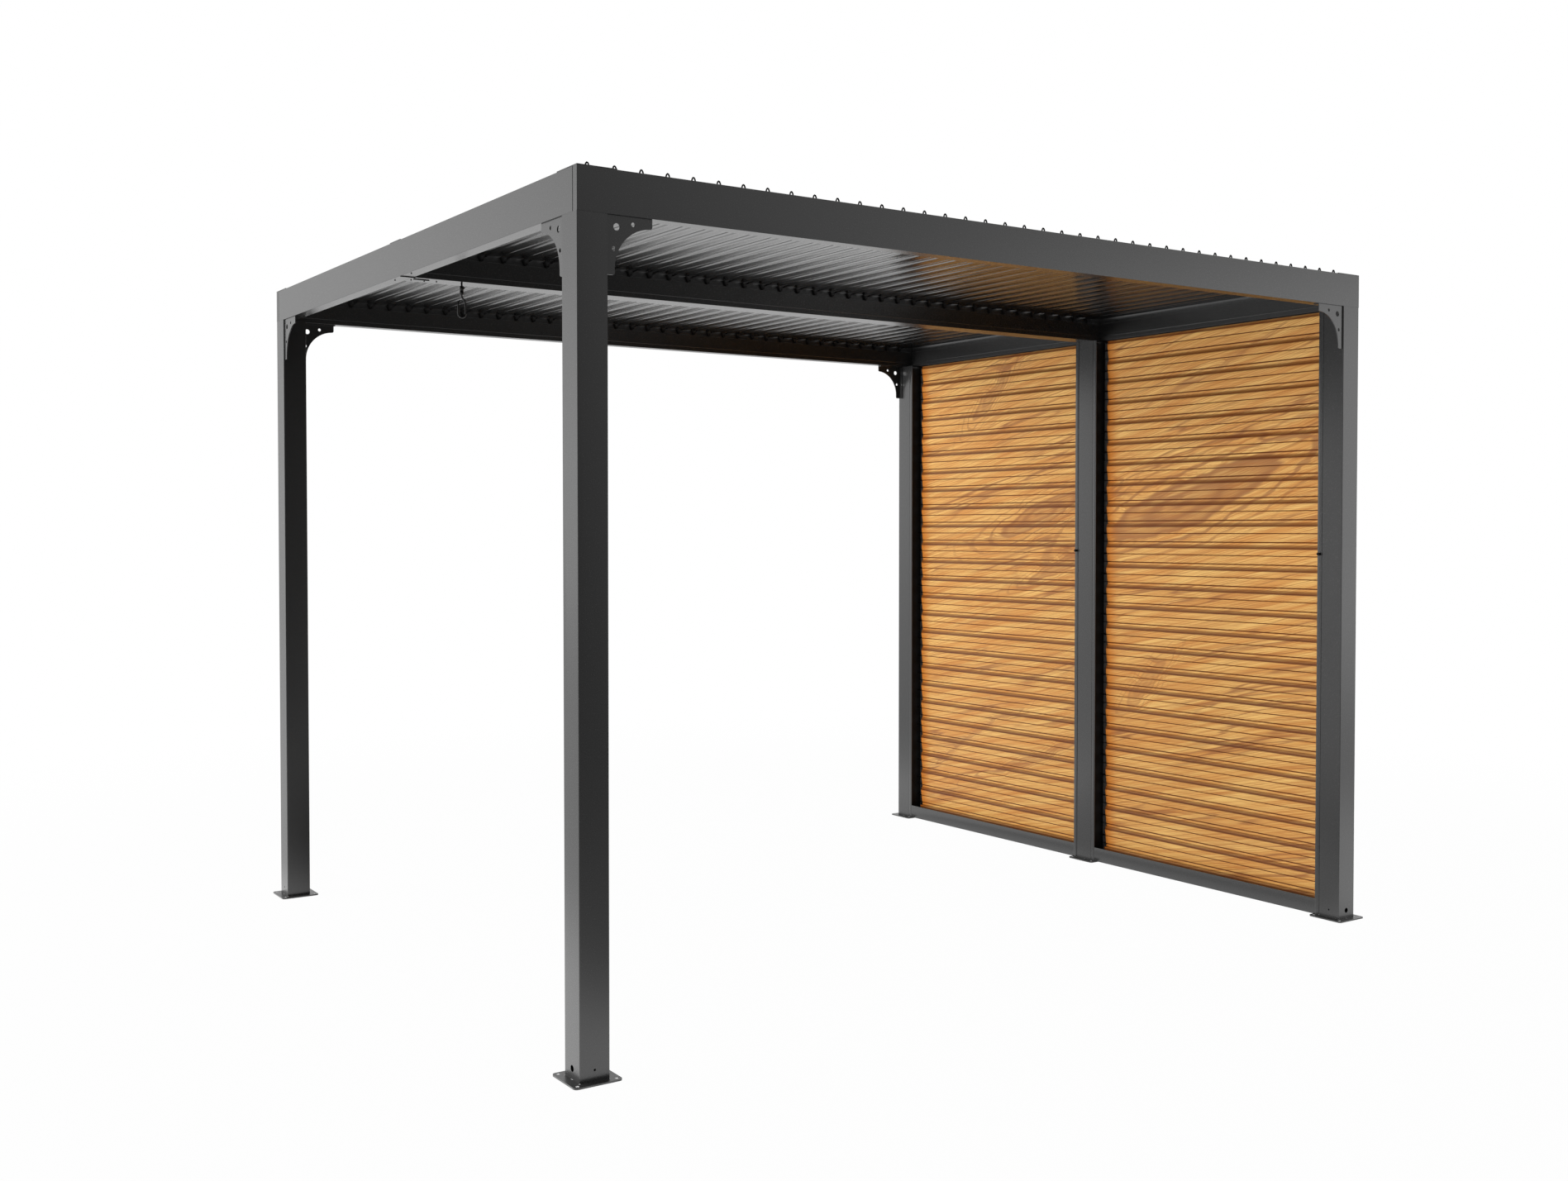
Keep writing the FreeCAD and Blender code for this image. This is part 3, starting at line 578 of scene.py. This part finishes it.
# Roof blades: extruded profile over each bay, on end plates with a moulded hook, a pin and a wire loop
roof = {
    "count": 39, "firstLeft": -1642.0, "pitch": 83.8, "width": 77.8, "underside": 2475.0, "thickness": 2.5,
    "ribDepth": 3.0, "ribSharpDeg": 8, "lapRise": 10.5, "lapReach": 12.0, "edgeRadius": 0.4,
    "deckFrom": -1333.0, "deckTo": -52.0, "baySpacing": 1385.0,
    # share of the width and share of the rib's depth, along the underside
    "ribs": [(0.0, 0.10), (0.03, 0.42), (0.06, 0.12), (0.25, 0.25), (0.345, 1.0), (0.43, 1.0), (0.80, 0.40),
             (1.0, 0.30)],
    "hookFromEdge": 16.0, "plateFrom": -1358.7, "plateTo": -26.3, "plateThickness": 4.0, "tongueHalf": 10.0,
    "pinRadius": 3.4, "pinFrom": -1361.7, "pinTo": -23.3, "pinRoot": 20.0, "smallSides": 10,
    # middle line and half width of the moulded hook, from the hook's place and the blade's underside
    "hookLine": [(-9.0, 0.5, 1.6), (-6.0, -1.2, 2.4), (-3.2, -4.5, 2.9), (-1.4, -9.0, 2.9), (0.6, -14.0, 2.6),
                 (3.6, -18.2, 2.2), (7.0, -19.6, 1.7)],
    "loopLine": [(-6.4, 0.0), (-6.6, 20.0), (-6.0, 29.0), (-4.2, 33.8), (-1.6, 36.2), (1.2, 35.4), (3.6, 31.2),
                 (6.2, 22.0), (8.6, 8.0), (9.0, 0.0)],
    "loopWire": 2.6, "wireSides": 6,
    # stud beside the hook, and the thin spring from the hook's tip up to it
    "studPlace": (12.0, -11.5), "studRadius": 2.6, "studInset": 0.5,
    "springTip": (6.4, -19.4), "springBend": (10.0, -17.6), "springWire": 1.1,
}


def ribbon(line):
    # closed outline around a middle line with its half widths
    sides = ([], [])
    for index, (x, z, half) in enumerate(line):
        before, after = line[max(index - 1, 0)], line[min(index + 1, len(line) - 1)]
        run = Vector((after[0] - before[0], after[1] - before[1])).normalized()
        sides[0].append((x - run.y * half, z + run.x * half))
        sides[1].append((x + run.y * half, z - run.x * half))
    return sides[0] + sides[1][::-1]


def roofDeck(number, settings):
    left = settings["firstLeft"] + number * settings["pitch"]
    right = left + settings["width"]
    bottom, thick = settings["underside"], settings["thickness"]
    top, lapTop = bottom + thick, bottom + settings["lapRise"]
    outline = [(left + share * settings["width"], bottom - low * settings["ribDepth"])
               for share, low in settings["ribs"]]
    outline += [(right, top), (left + thick, top), (left + thick, lapTop)]
    if number > 0:
        reach = left - settings["lapReach"]
        outline += [(reach, lapTop), (reach, lapTop - thick), (left, lapTop - thick)]
    else:
        outline.append((left, lapTop))
    hookX, half = left + settings["hookFromEdge"], settings["tongueHalf"]
    shape = bmesh.new()
    for shift in (0.0, settings["baySpacing"]):
        bar(shape, outline, settings["deckFrom"] + shift, settings["deckTo"] + shift, settings["edgeRadius"])
        for start, end in (("plateFrom", "deckFrom"), ("deckTo", "plateTo")):
            block(shape, (hookX - half, settings[start] + shift, bottom), (hookX + half, settings[end] + shift, top))
    return shape


def roofHooks(number, settings):
    left = settings["firstLeft"] + number * settings["pitch"]
    hookX, pinX = left + settings["hookFromEdge"], left + settings["width"] / 2
    bottom = settings["underside"]
    top = bottom + settings["thickness"]
    pinZ, thick = (bottom + top) / 2, settings["plateThickness"]
    hook = [(hookX + x, bottom + z) for x, z in ribbon(settings["hookLine"])]
    (tipX, tipZ), (bendX, bendZ), (studX, studZ) = [
        (hookX + x, bottom + z) for x, z in (settings["springTip"], settings["springBend"], settings["studPlace"])]
    inset = settings["studInset"]
    shape = bmesh.new()
    for shift in (0.0, settings["baySpacing"]):
        front = settings["plateFrom"] + shift
        back = settings["plateTo"] - thick + shift
        for start in (front, back):
            bar(shape, hook, start, start + thick)
            rod(shape, (studX, start + inset, studZ), (studX, start + thick - inset, studZ), settings["studRadius"],
                settings["smallSides"])
            middle = start + thick / 2
            wire(shape, [(tipX, middle, tipZ), (bendX, middle, bendZ), (studX, middle, studZ)], settings["springWire"],
                 settings["wireSides"])
        loop = [(hookX + x, front + thick / 2, top + z) for x, z in settings["loopLine"]]
        wire(shape, loop, settings["loopWire"], settings["wireSides"])
        for start, end in ((settings["pinFrom"], settings["deckFrom"] + settings["pinRoot"]),
                           (settings["deckTo"] - settings["pinRoot"], settings["pinTo"])):
            rod(shape, (pinX, start + shift, pinZ), (pinX, end + shift, pinZ), settings["pinRadius"],
                settings["smallSides"])
    return shape


for number in range(roof["count"]):
    bladeName = "roof_blade_%02d" % (number + 1)
    finishPiece(bladeName + "_deck", roofDeck(number, roof), bladeCoat, bladeName + "_body",
                [bladeName], sharpDeg=roof["ribSharpDeg"])
    finishPiece(bladeName + "_hooks", roofHooks(number, roof), blackPlastic, bladeName + "_body")
print("stage: roof blades built")

# Louvred wall: leaning hollow blades with a stepped inner face, on black pins
wall = {
    "bays": [("front", -1295.0, -46.0), ("back", 46.0, 1295.0)],
    "count": 25, "pitch": 92.1, "topZ": 2371.0, "leanDeg": 7.5, "overlap": 5.0, "thickness": 11.0, "outerX": 1652.0,
    "webThickness": 2.5, "endGap": 36.0, "edgeRadius": 0.5,
    # places of the step and the grooves on the inner face, as shares of the pitch, and half a groove's floor
    "ledge": 0.125, "lowerGroove": 0.14, "upperGroove": 0.54, "grooveFloor": 0.4,
    "fillerFrom": 7.8, "fillerThickness": 5.5, "fillerBehind": 1.5, "fillerRadius": 0.4,
    # pin and thin bar in each end, how near they come to the web, and the end of the spring wire in the groove
    "pinRadius": 3.4, "barRadius": 1.5, "barDepth": 3.2, "pinSeat": 0.3, "pinRoot": 2.0, "smallSides": 10,
    "tickLength": 13.0, "tickRadius": 1.3, "tickDepth": 0.6, "tickPast": 3.0, "tickSides": 6,
    "channelInner": 1581.0, "channelOuter": 1656.0, "flange": 20.0, "outerFlange": 42.0,
    "channelLow": 5.0, "channelHigh": 2375.0, "channelRadius": 0.7, "railHeight": 62.0, "railInset": 0.2,
    # thin black sheet over the web, which makes the web dark, a ring at each pin, and the brush seal on the outer
    # flange
    "webSheetThickness": 0.6, "webSheetGap": 0.3, "webSheetEnd": 6.0, "ringRadius": 5.0, "sealThickness": 0.8,
    "rubberDepth": 6.0, "rubberEnd": 3.0, "rubberLow": 0.3, "rubberHigh": 4.0,
}
wall["lean"] = math.radians(wall["leanDeg"])
wall["width"] = wall["pitch"] * math.cos(wall["lean"]) + wall["overlap"]
wall["middleX"] = (wall["outerX"] - wall["thickness"] / 2 * math.cos(wall["lean"])
                   - wall["width"] / 2 * math.sin(wall["lean"]))


def wallPoint(number, across, up, settings):
    # from the blade's own section, leaning, to X and Z
    rise, run = math.cos(settings["lean"]), math.sin(settings["lean"])
    middleZ = settings["topZ"] - settings["width"] / 2 * rise - number * settings["pitch"]
    return settings["middleX"] + across * rise - up * run, middleZ + across * run + up * rise


def wallSection(settings):
    half, low, high = settings["thickness"] / 2, -settings["width"] / 2, settings["width"] / 2
    groove, floor = settings["thickness"] / 6, settings["grooveFloor"]
    ledge = high - settings["ledge"] * settings["pitch"]
    lower, upper = [low + settings["overlap"] + settings[name] * settings["pitch"]
                    for name in ("lowerGroove", "upperGroove")]
    outline = [(-half, low), (half, low), (half, high), (0, high), (-groove, ledge), (-half, ledge)]
    for place in (upper, lower):
        outline += [(-half, place + groove), (-half + groove, place + floor), (-half + groove, place - floor),
                    (-half, place - groove)]
    return outline, lower, upper


def wallChannel(side, start, end, settings):
    # channel up both posts, with its outer flange behind the ends of the blades, and a tray along the ground
    inner, outer, sheet = settings["channelInner"], settings["channelOuter"], settings["webThickness"]
    flange, cover = settings["flange"], settings["outerFlange"]
    low, high = settings["channelLow"], settings["channelHigh"]
    outline = [(inner, 0), (outer, 0), (outer, cover), (outer - sheet, cover), (outer - sheet, sheet),
               (inner + sheet, sheet), (inner + sheet, flange), (inner, flange)]
    shape = bmesh.new()
    for wallY, sign in ((start, 1), (end, -1)):
        part = bmesh.new()
        part.faces.new([part.verts.new((x, wallY + sign * y, low)) for x, y in outline])
        bmesh.ops.bevel(part, geom=part.verts[:], offset=settings["channelRadius"], segments=2, profile=0.5,
                        affect="VERTICES", clamp_overlap=True, material=-1)
        push(part, (0, 0, high - low))
        addPart(shape, part)
    rail = low + settings["railHeight"]
    left, right = inner + settings["railInset"], outer - settings["railInset"]
    outline = [(left, low), (right, low), (right, rail), (right - sheet, rail), (right - sheet, low + sheet),
               (left + sheet, low + sheet), (left + sheet, rail), (left, rail)]
    bar(shape, outline, start + sheet, end - sheet, settings["channelRadius"])
    finishPiece("wall_channel_" + side, shape, frameCoat, stands=["wall_frame_" + side])


def wallBlades(boards, fittings, start, end, settings):
    outline, lower, upper = wallSection(settings)
    half, web, sides = settings["thickness"] / 2, settings["webThickness"], settings["smallSides"]
    near, far = start + web + settings["endGap"], end - web - settings["endGap"]
    for number in range(settings["count"]):
        bar(boards, [wallPoint(number, across, up, settings) for across, up in outline], near, far,
            settings["edgeRadius"])
        for up, across, radius in ((upper, 0.0, settings["pinRadius"]),
                                   (lower, -half + settings["barDepth"], settings["barRadius"])):
            x, z = wallPoint(number, across, up, settings)
            rod(fittings, (x, start + web + settings["pinSeat"], z), (x, near + settings["pinRoot"], z), radius, sides)
            rod(fittings, (x, far - settings["pinRoot"], z), (x, end - web - settings["pinSeat"], z), radius, sides)
            x, z = wallPoint(number, -half + settings["tickDepth"], up, settings)
            rod(fittings, (x, far - settings["tickLength"], z), (x, far + settings["tickPast"], z),
                settings["tickRadius"], settings["tickSides"])
    fillerX = (wallPoint(0, 0.0, 0.0, settings)[0] - settings["width"] / 2 * math.sin(settings["lean"]) - half
               - settings["fillerBehind"])
    block(boards, (fillerX, near, settings["fillerFrom"]),
          (fillerX + settings["fillerThickness"], far, settings["topZ"] - settings["count"] * settings["pitch"]),
          settings["fillerRadius"])
    # rubber seal under the beam, which keeps light out over the top blade
    rubberX, rubberZ = wallPoint(0, half, settings["width"] / 2, settings)[0], settings["topZ"]
    block(fittings, (rubberX - settings["rubberDepth"], start + settings["rubberEnd"], rubberZ + settings["rubberLow"]),
          (rubberX, end - settings["rubberEnd"], rubberZ + settings["rubberHigh"]))
    return upper


def wallWebSheets(fittings, seals, start, end, pinUp, settings):
    web, step, gap = settings["webThickness"], settings["webSheetThickness"], settings["webSheetGap"]
    innerX, outerX = settings["channelInner"] + web, settings["channelOuter"] - web
    sealX = outerX - settings["sealThickness"]
    low, high = settings["channelLow"] + settings["webSheetEnd"], settings["topZ"] - settings["webSheetEnd"]
    for wallY, sign in ((start, 1), (end, -1)):
        face, front, ring, edge = [wallY + sign * reach for reach in (web, web + step, web + 2 * step,
                                                                      settings["outerFlange"])]
        block(fittings, (innerX + gap, min(face, front), low), (sealX - gap, max(face, front), high))
        block(seals, (sealX, min(front, edge), low), (outerX, max(front, edge), high))
        for number in range(settings["count"]):
            pinX, pinZ = wallPoint(number, 0.0, pinUp, settings)
            rod(fittings, (pinX, front, pinZ), (pinX, ring, pinZ), settings["ringRadius"], settings["smallSides"])


for side, start, end in wall["bays"]:
    wallChannel(side, start, end, wall)
    boards, fittings, seals = bmesh.new(), bmesh.new(), bmesh.new()
    pinUp = wallBlades(boards, fittings, start, end, wall)
    wallWebSheets(fittings, seals, start, end, pinUp, wall)
    finishPiece("wall_blades_" + side + "_wood", boards, woodCoat,
                stands=["wall_blades_" + side])
    finishPiece("wall_pins_" + side, fittings, blackPlastic)
    finishPiece("wall_seals_" + side, seals, sealFibre)
print("stage: louvred wall built")

# Knobs that tilt the wall blades: a round head on a thin collar
knobs = {
    "places": [(-1285.0, 1421.0), (56.0, 1421.0)], "seatX": 1581.0, "collarRadius": 4.6, "collarTo": 4.0,
    "radius": 5.9, "headFrom": 3.0, "headTo": 12.0, "edgeRadius": 1.2, "sides": 20,
}
knobShape = bmesh.new()
for knobY, knobZ in knobs["places"]:
    rod(knobShape, (knobs["seatX"], knobY, knobZ), (knobs["seatX"] - knobs["collarTo"], knobY, knobZ),
        knobs["collarRadius"], knobs["sides"])
    rod(knobShape, (knobs["seatX"] - knobs["headFrom"], knobY, knobZ), (knobs["seatX"] - knobs["headTo"], knobY, knobZ),
        knobs["radius"], knobs["sides"], knobs["edgeRadius"])
finishPiece("wall_knob_heads", knobShape, blackPlastic, stands=["wall_knobs"])

# Crank drive of the roof: rod and sleeve under the middle beam, and a bent wire eye that turns
crank = {
    "x": -1448.0, "y": -38.0, "rodRadius": 3.2, "rodTop": 2375.0, "rodSides": 20,
    "sleeveTop": 2361.0, "sleeveRadius": 6.6, "sleeveSides": 24, "edgeRadius": 0.8, "overlap": 2.0,
    "upperEnd": 2345.2, "lowerStart": 2344.7, "lowerEnd": 2330.0,        # the eye's joint lies between the two sleeves
    # ear that holds the sleeve's pin
    "earAside": 6.5, "earDown": 6.0, "earHalf": 2.2, "earRadius": 4.2, "earSides": 16, "earEdge": 0.5,
    # bends of the wire: down one side, round the ring, and up to its open end
    "wireRadius": 3.2, "wireSides": 12, "ringHalf": 13.5, "ringMiddle": 2266.4,
    "wireDown": [(0, 2334), (0, 2326), (1.5, 2321), (6, 2316.5), (10.5, 2310), (13, 2302), (13.5, 2296)],
    "wireUp": [(-13.5, 2296), (-12.6, 2303), (-9.5, 2308.5), (-6, 2311)],
}


def crankHousing(settings):
    x, y = settings["x"], settings["y"]
    shape = bmesh.new()
    rod(shape, (x, y, settings["rodTop"]), (x, y, settings["sleeveTop"] - settings["overlap"]), settings["rodRadius"],
        settings["rodSides"])
    rod(shape, (x, y, settings["sleeveTop"]), (x, y, settings["upperEnd"]), settings["sleeveRadius"],
        settings["sleeveSides"], settings["edgeRadius"])
    earX, earZ = x + settings["earAside"], settings["sleeveTop"] - settings["earDown"]
    rod(shape, (earX, y - settings["earHalf"], earZ), (earX, y + settings["earHalf"], earZ), settings["earRadius"],
        settings["earSides"], settings["earEdge"])
    return shape


def crankEye(settings):
    x, y = settings["x"], settings["y"]
    shape = bmesh.new()
    rod(shape, (x, y, settings["lowerStart"]), (x, y, settings["lowerEnd"]), settings["sleeveRadius"],
        settings["sleeveSides"], settings["edgeRadius"])
    ring = arc((0, settings["ringMiddle"]), settings["ringHalf"], 0, -180, 12)
    path = settings["wireDown"] + ring + settings["wireUp"]
    wire(shape, [(x + across, y, z) for across, z in path], settings["wireRadius"], settings["wireSides"])
    return shape


finishPiece("crank_rod_and_sleeve", crankHousing(crank), blackSteel, stands=["crank_housing"])
finishPiece("crank_wire_eye", crankEye(crank), blackSteel, "crank", ["crank_eye"])
print("stage: knobs and crank built")

# Studio
studio = {
    "cameraAt": (-3.590475, -5.260932, 1.512315), "cameraTurn": (1.546757, 0.0, -0.595874),
    "lens": 36.39, "sensor": 36.0, "shiftX": -0.00717, "shiftY": -0.01386, "sight": 200.0,
    "floorSize": 80.0, "floorHeight": -0.0008, "floorColour": "#989898",
    # the shadow of the object shows faintly near it, and fades into the white backdrop between these distances
    "floorFade": {"From Min": 3.0, "From Max": 7.0, "To Min": 0.985},
    # soft light of the room, by the direction that it comes from
    "room": [((-1.0, 0.0, 0.2), 0.12), ((0.0, 0.0, 1.0), 0.15), ((1.0, 0.5, 0.3), 0.9)],
    # what gloss sees behind the camera, where a real studio is dark
    "darkSide": (0.0, -1.0, 0.0), "darkRange": {"From Min": 0.76, "From Max": 0.97, "To Min": 1.0, "To Max": 0.08},
    # a little less light straight at the back
    "dimSide": (-0.1, 0.995, 0.0), "dimRange": {"From Min": 0.955, "From Max": 0.985, "To Max": 0.25},
    # bright wall at the back left
    "brightSide": (-0.56, 0.83, 0.0), "brightRange": {"From Min": 0.945, "From Max": 0.995, "To Max": 0.85},
    # the floor as gloss sees it: shaded under the roof, more so at the left, lit around it, and dimmer by the wall
    "underRoof": (1.67, 1.39), "shadeRange": {"From Min": -1.4, "From Max": 0.9, "To Min": 0.15, "To Max": 0.85},
    "litRange": {"From Min": 0.75, "From Max": 1.05, "To Max": 1.8},
    "wallAt": 1.5, "wallRange": {"From Min": 0.12, "From Max": 0.45, "To Min": 0.8},
    # how much of the dark side shows on the floor near the object, and where that and the shading end
    "nearShare": 0.75, "farFade": {"From Min": 12.0, "From Max": 24.0},
    "nearMiddle": (1.0, -0.8, 0.0), "nearFade": {"From Min": 3.1, "From Max": 4.2},
    # name, place, aim, width, height, watts, and whether it shows in gloss
    "lamps": [
        ("keyLeft", (-8.0, 3.4, 1.9), (0.0, 0.2, 1.3), 4.0, 4.0, 1180.0, False),
        ("softboxRight", (8.3, -6.8, 1.7), (1.2, -1.3, 1.3), 6.5, 4.4, 100.0, True),
    ],
}


def sideLevel(tree, heading, settings):
    # brightness that gloss sees in one direction: white, but dark behind the camera
    levels = []
    for direction, reach in (("darkSide", "darkRange"), ("dimSide", "dimRange")):
        facing = addNode(tree, "VectorMath", {1: settings[direction]}, {0: heading},
                         operation="DOT_PRODUCT").outputs["Value"]
        levels.append(addNode(tree, "MapRange", settings[reach], {"Value": facing},
                              interpolation_type="SMOOTHSTEP").outputs[0])
    return addNode(tree, "Math", links={0: levels[0], 1: levels[1]}, operation="SUBTRACT").outputs[0]


def floorSheen(tree, spot, away, settings):
    heading = addNode(tree, "VectorMath", links={0: spot}, operation="NORMALIZE").outputs["Vector"]
    side = sideLevel(tree, heading, settings)
    halfX, halfY = settings["underRoof"]
    share = addNode(tree, "VectorMath", {1: (1 / halfX, 1 / halfY, 1.0)}, {0: spot},
                    operation="MULTIPLY").outputs["Vector"]
    share = addNode(tree, "VectorMath", links={0: share}, operation="ABSOLUTE").outputs["Vector"]
    share = addNode(tree, "SeparateXYZ", links={0: share}).outputs
    share = addNode(tree, "Math", links={0: share["X"], 1: share["Y"]}, operation="MAXIMUM").outputs[0]
    placeX = addNode(tree, "SeparateXYZ", links={0: spot}).outputs["X"]
    shade = addNode(tree, "MapRange", settings["shadeRange"], {"Value": placeX}).outputs[0]
    lit = addNode(tree, "MapRange", settings["litRange"], {"Value": share, "To Min": shade},
                  interpolation_type="SMOOTHSTEP").outputs[0]
    beside = addNode(tree, "Math", {1: settings["wallAt"]}, {0: placeX}, operation="SUBTRACT").outputs[0]
    beside = addNode(tree, "Math", links={0: beside}, operation="ABSOLUTE").outputs[0]
    beside = addNode(tree, "MapRange", settings["wallRange"], {"Value": beside}).outputs[0]
    lit = addNode(tree, "Math", links={0: lit, 1: beside}, operation="MULTIPLY").outputs[0]
    part = addNode(tree, "Math", {1: settings["nearShare"], 2: 1 - settings["nearShare"]}, {0: side},
                   operation="MULTIPLY_ADD").outputs[0]
    beyond = addNode(tree, "MapRange", settings["farFade"], {"Value": away}, interpolation_type="SMOOTHSTEP").outputs[0]
    side = addNode(tree, "Mix", links={"Factor": beyond, "A": part, "B": side}, data_type="FLOAT").outputs[0]
    lit = addNode(tree, "Math", links={0: lit, 1: side}, operation="MULTIPLY").outputs[0]
    apart = addNode(tree, "VectorMath", {1: settings["nearMiddle"]}, {0: spot}, operation="DISTANCE").outputs["Value"]
    outside = addNode(tree, "MapRange", settings["nearFade"], {"Value": apart},
                      interpolation_type="SMOOTHSTEP").outputs[0]
    return addNode(tree, "Mix", links={"Factor": outside, "A": lit, "B": side}, data_type="FLOAT").outputs[0]


def buildFloor(settings):
    bpy.ops.mesh.primitive_plane_add(size=settings["floorSize"], location=(0, 0, settings["floorHeight"]))
    floor = bpy.context.object
    floor.name = "studioFloor"
    material, tree, output = newMaterial("pale_studio_floor")
    spot = addNode(tree, "TexCoord").outputs["Object"]
    away = addNode(tree, "VectorMath", links={0: spot}, operation="LENGTH").outputs["Value"]
    path = addNode(tree, "LightPath").outputs
    paint = addNode(tree, "BsdfDiffuse", {"Color": linearColour(settings["floorColour"])})
    glow = addNode(tree, "Emission", {"Color": (1, 1, 1, 1), "Strength": 1.0})
    sheen = addNode(tree, "Emission", {"Color": (1, 1, 1, 1)}, {"Strength": floorSheen(tree, spot, away, settings)})
    fade = addNode(tree, "MapRange", settings["floorFade"], {"Value": away}, interpolation_type="SMOOTHSTEP").outputs[0]
    share = addNode(tree, "Math", links={0: path["Is Camera Ray"], 1: fade}, operation="MULTIPLY").outputs[0]
    mix = addNode(tree, "MixShader", links={0: share, 1: paint.outputs[0], 2: glow.outputs[0]})
    gloss = addNode(tree, "Math", links={0: path["Is Glossy Ray"], 1: path["Is Transmission Ray"]},
                    operation="MAXIMUM").outputs[0]
    mix = addNode(tree, "MixShader", links={0: gloss, 1: mix.outputs[0], 2: sheen.outputs[0]})
    tree.links.new(mix.outputs[0], output.inputs[0])
    floor.data.materials.append(material)


def buildRoom(settings):
    world = bpy.data.worlds.new("pale_studio_room")
    bpy.context.scene.world = world
    world.use_nodes = True
    tree = world.node_tree
    tree.nodes.clear()
    path = addNode(tree, "LightPath").outputs
    heading = addNode(tree, "TexCoord").outputs["Generated"]
    level = None
    for direction, strength in settings["room"]:
        facing = addNode(tree, "VectorMath", {1: Vector(direction).normalized()}, {0: heading},
                         operation="DOT_PRODUCT").outputs["Value"]
        lobe = addNode(tree, "MapRange", {"To Max": strength}, {"Value": facing},
                       interpolation_type="SMOOTHSTEP").outputs[0]
        level = lobe if level is None else addNode(tree, "Math", links={0: level, 1: lobe}, operation="ADD").outputs[0]
    room = addNode(tree, "Background", {"Color": (1, 1, 1, 1)}, {"Strength": level})
    facing = addNode(tree, "VectorMath", {1: settings["brightSide"]}, {0: heading},
                     operation="DOT_PRODUCT").outputs["Value"]
    lift = addNode(tree, "MapRange", settings["brightRange"], {"Value": facing},
                   interpolation_type="SMOOTHSTEP").outputs[0]
    side = addNode(tree, "Math", links={0: sideLevel(tree, heading, settings), 1: lift}, operation="ADD").outputs[0]
    sheen = addNode(tree, "Background", {"Color": (1, 1, 1, 1)}, {"Strength": side})
    white = addNode(tree, "Background", {"Color": (1, 1, 1, 1), "Strength": 1.0})
    gloss = addNode(tree, "Math", links={0: path["Is Glossy Ray"], 1: path["Is Transmission Ray"]},
                    operation="MAXIMUM").outputs[0]
    mix = addNode(tree, "MixShader", links={0: gloss, 1: room.outputs[0], 2: sheen.outputs[0]})
    mix = addNode(tree, "MixShader", links={0: path["Is Camera Ray"], 1: mix.outputs[0], 2: white.outputs[0]})
    output = addNode(tree, "OutputWorld")
    tree.links.new(mix.outputs[0], output.inputs[0])


def buildLamps(settings):
    for name, place, aim, width, height, watts, inGloss in settings["lamps"]:
        data = bpy.data.lights.new(name, "AREA")
        data.shape = "RECTANGLE"
        data.size, data.size_y, data.energy = width, height, watts
        lamp = bpy.data.objects.new(name, data)
        bpy.context.scene.collection.objects.link(lamp)
        lamp.location = place
        lamp.visible_glossy = inGloss
        lamp.rotation_euler = (Vector(aim) - Vector(place)).to_track_quat("-Z", "Y").to_euler()


def buildCamera(settings):
    data = bpy.data.cameras.new("photoCamera")
    data.lens = settings["lens"]
    data.sensor_width = settings["sensor"]
    data.sensor_fit = "HORIZONTAL"
    data.shift_x, data.shift_y = settings["shiftX"], settings["shiftY"]
    data.clip_end = settings["sight"]
    camera = bpy.data.objects.new("photoCamera", data)
    bpy.context.scene.collection.objects.link(camera)
    camera.location = settings["cameraAt"]
    camera.rotation_euler = settings["cameraTurn"]
    bpy.context.scene.camera = camera


bpy.context.scene.view_settings.view_transform = "Standard"
buildFloor(studio)
buildRoom(studio)
buildLamps(studio)
buildCamera(studio)
print("stage: studio lit")
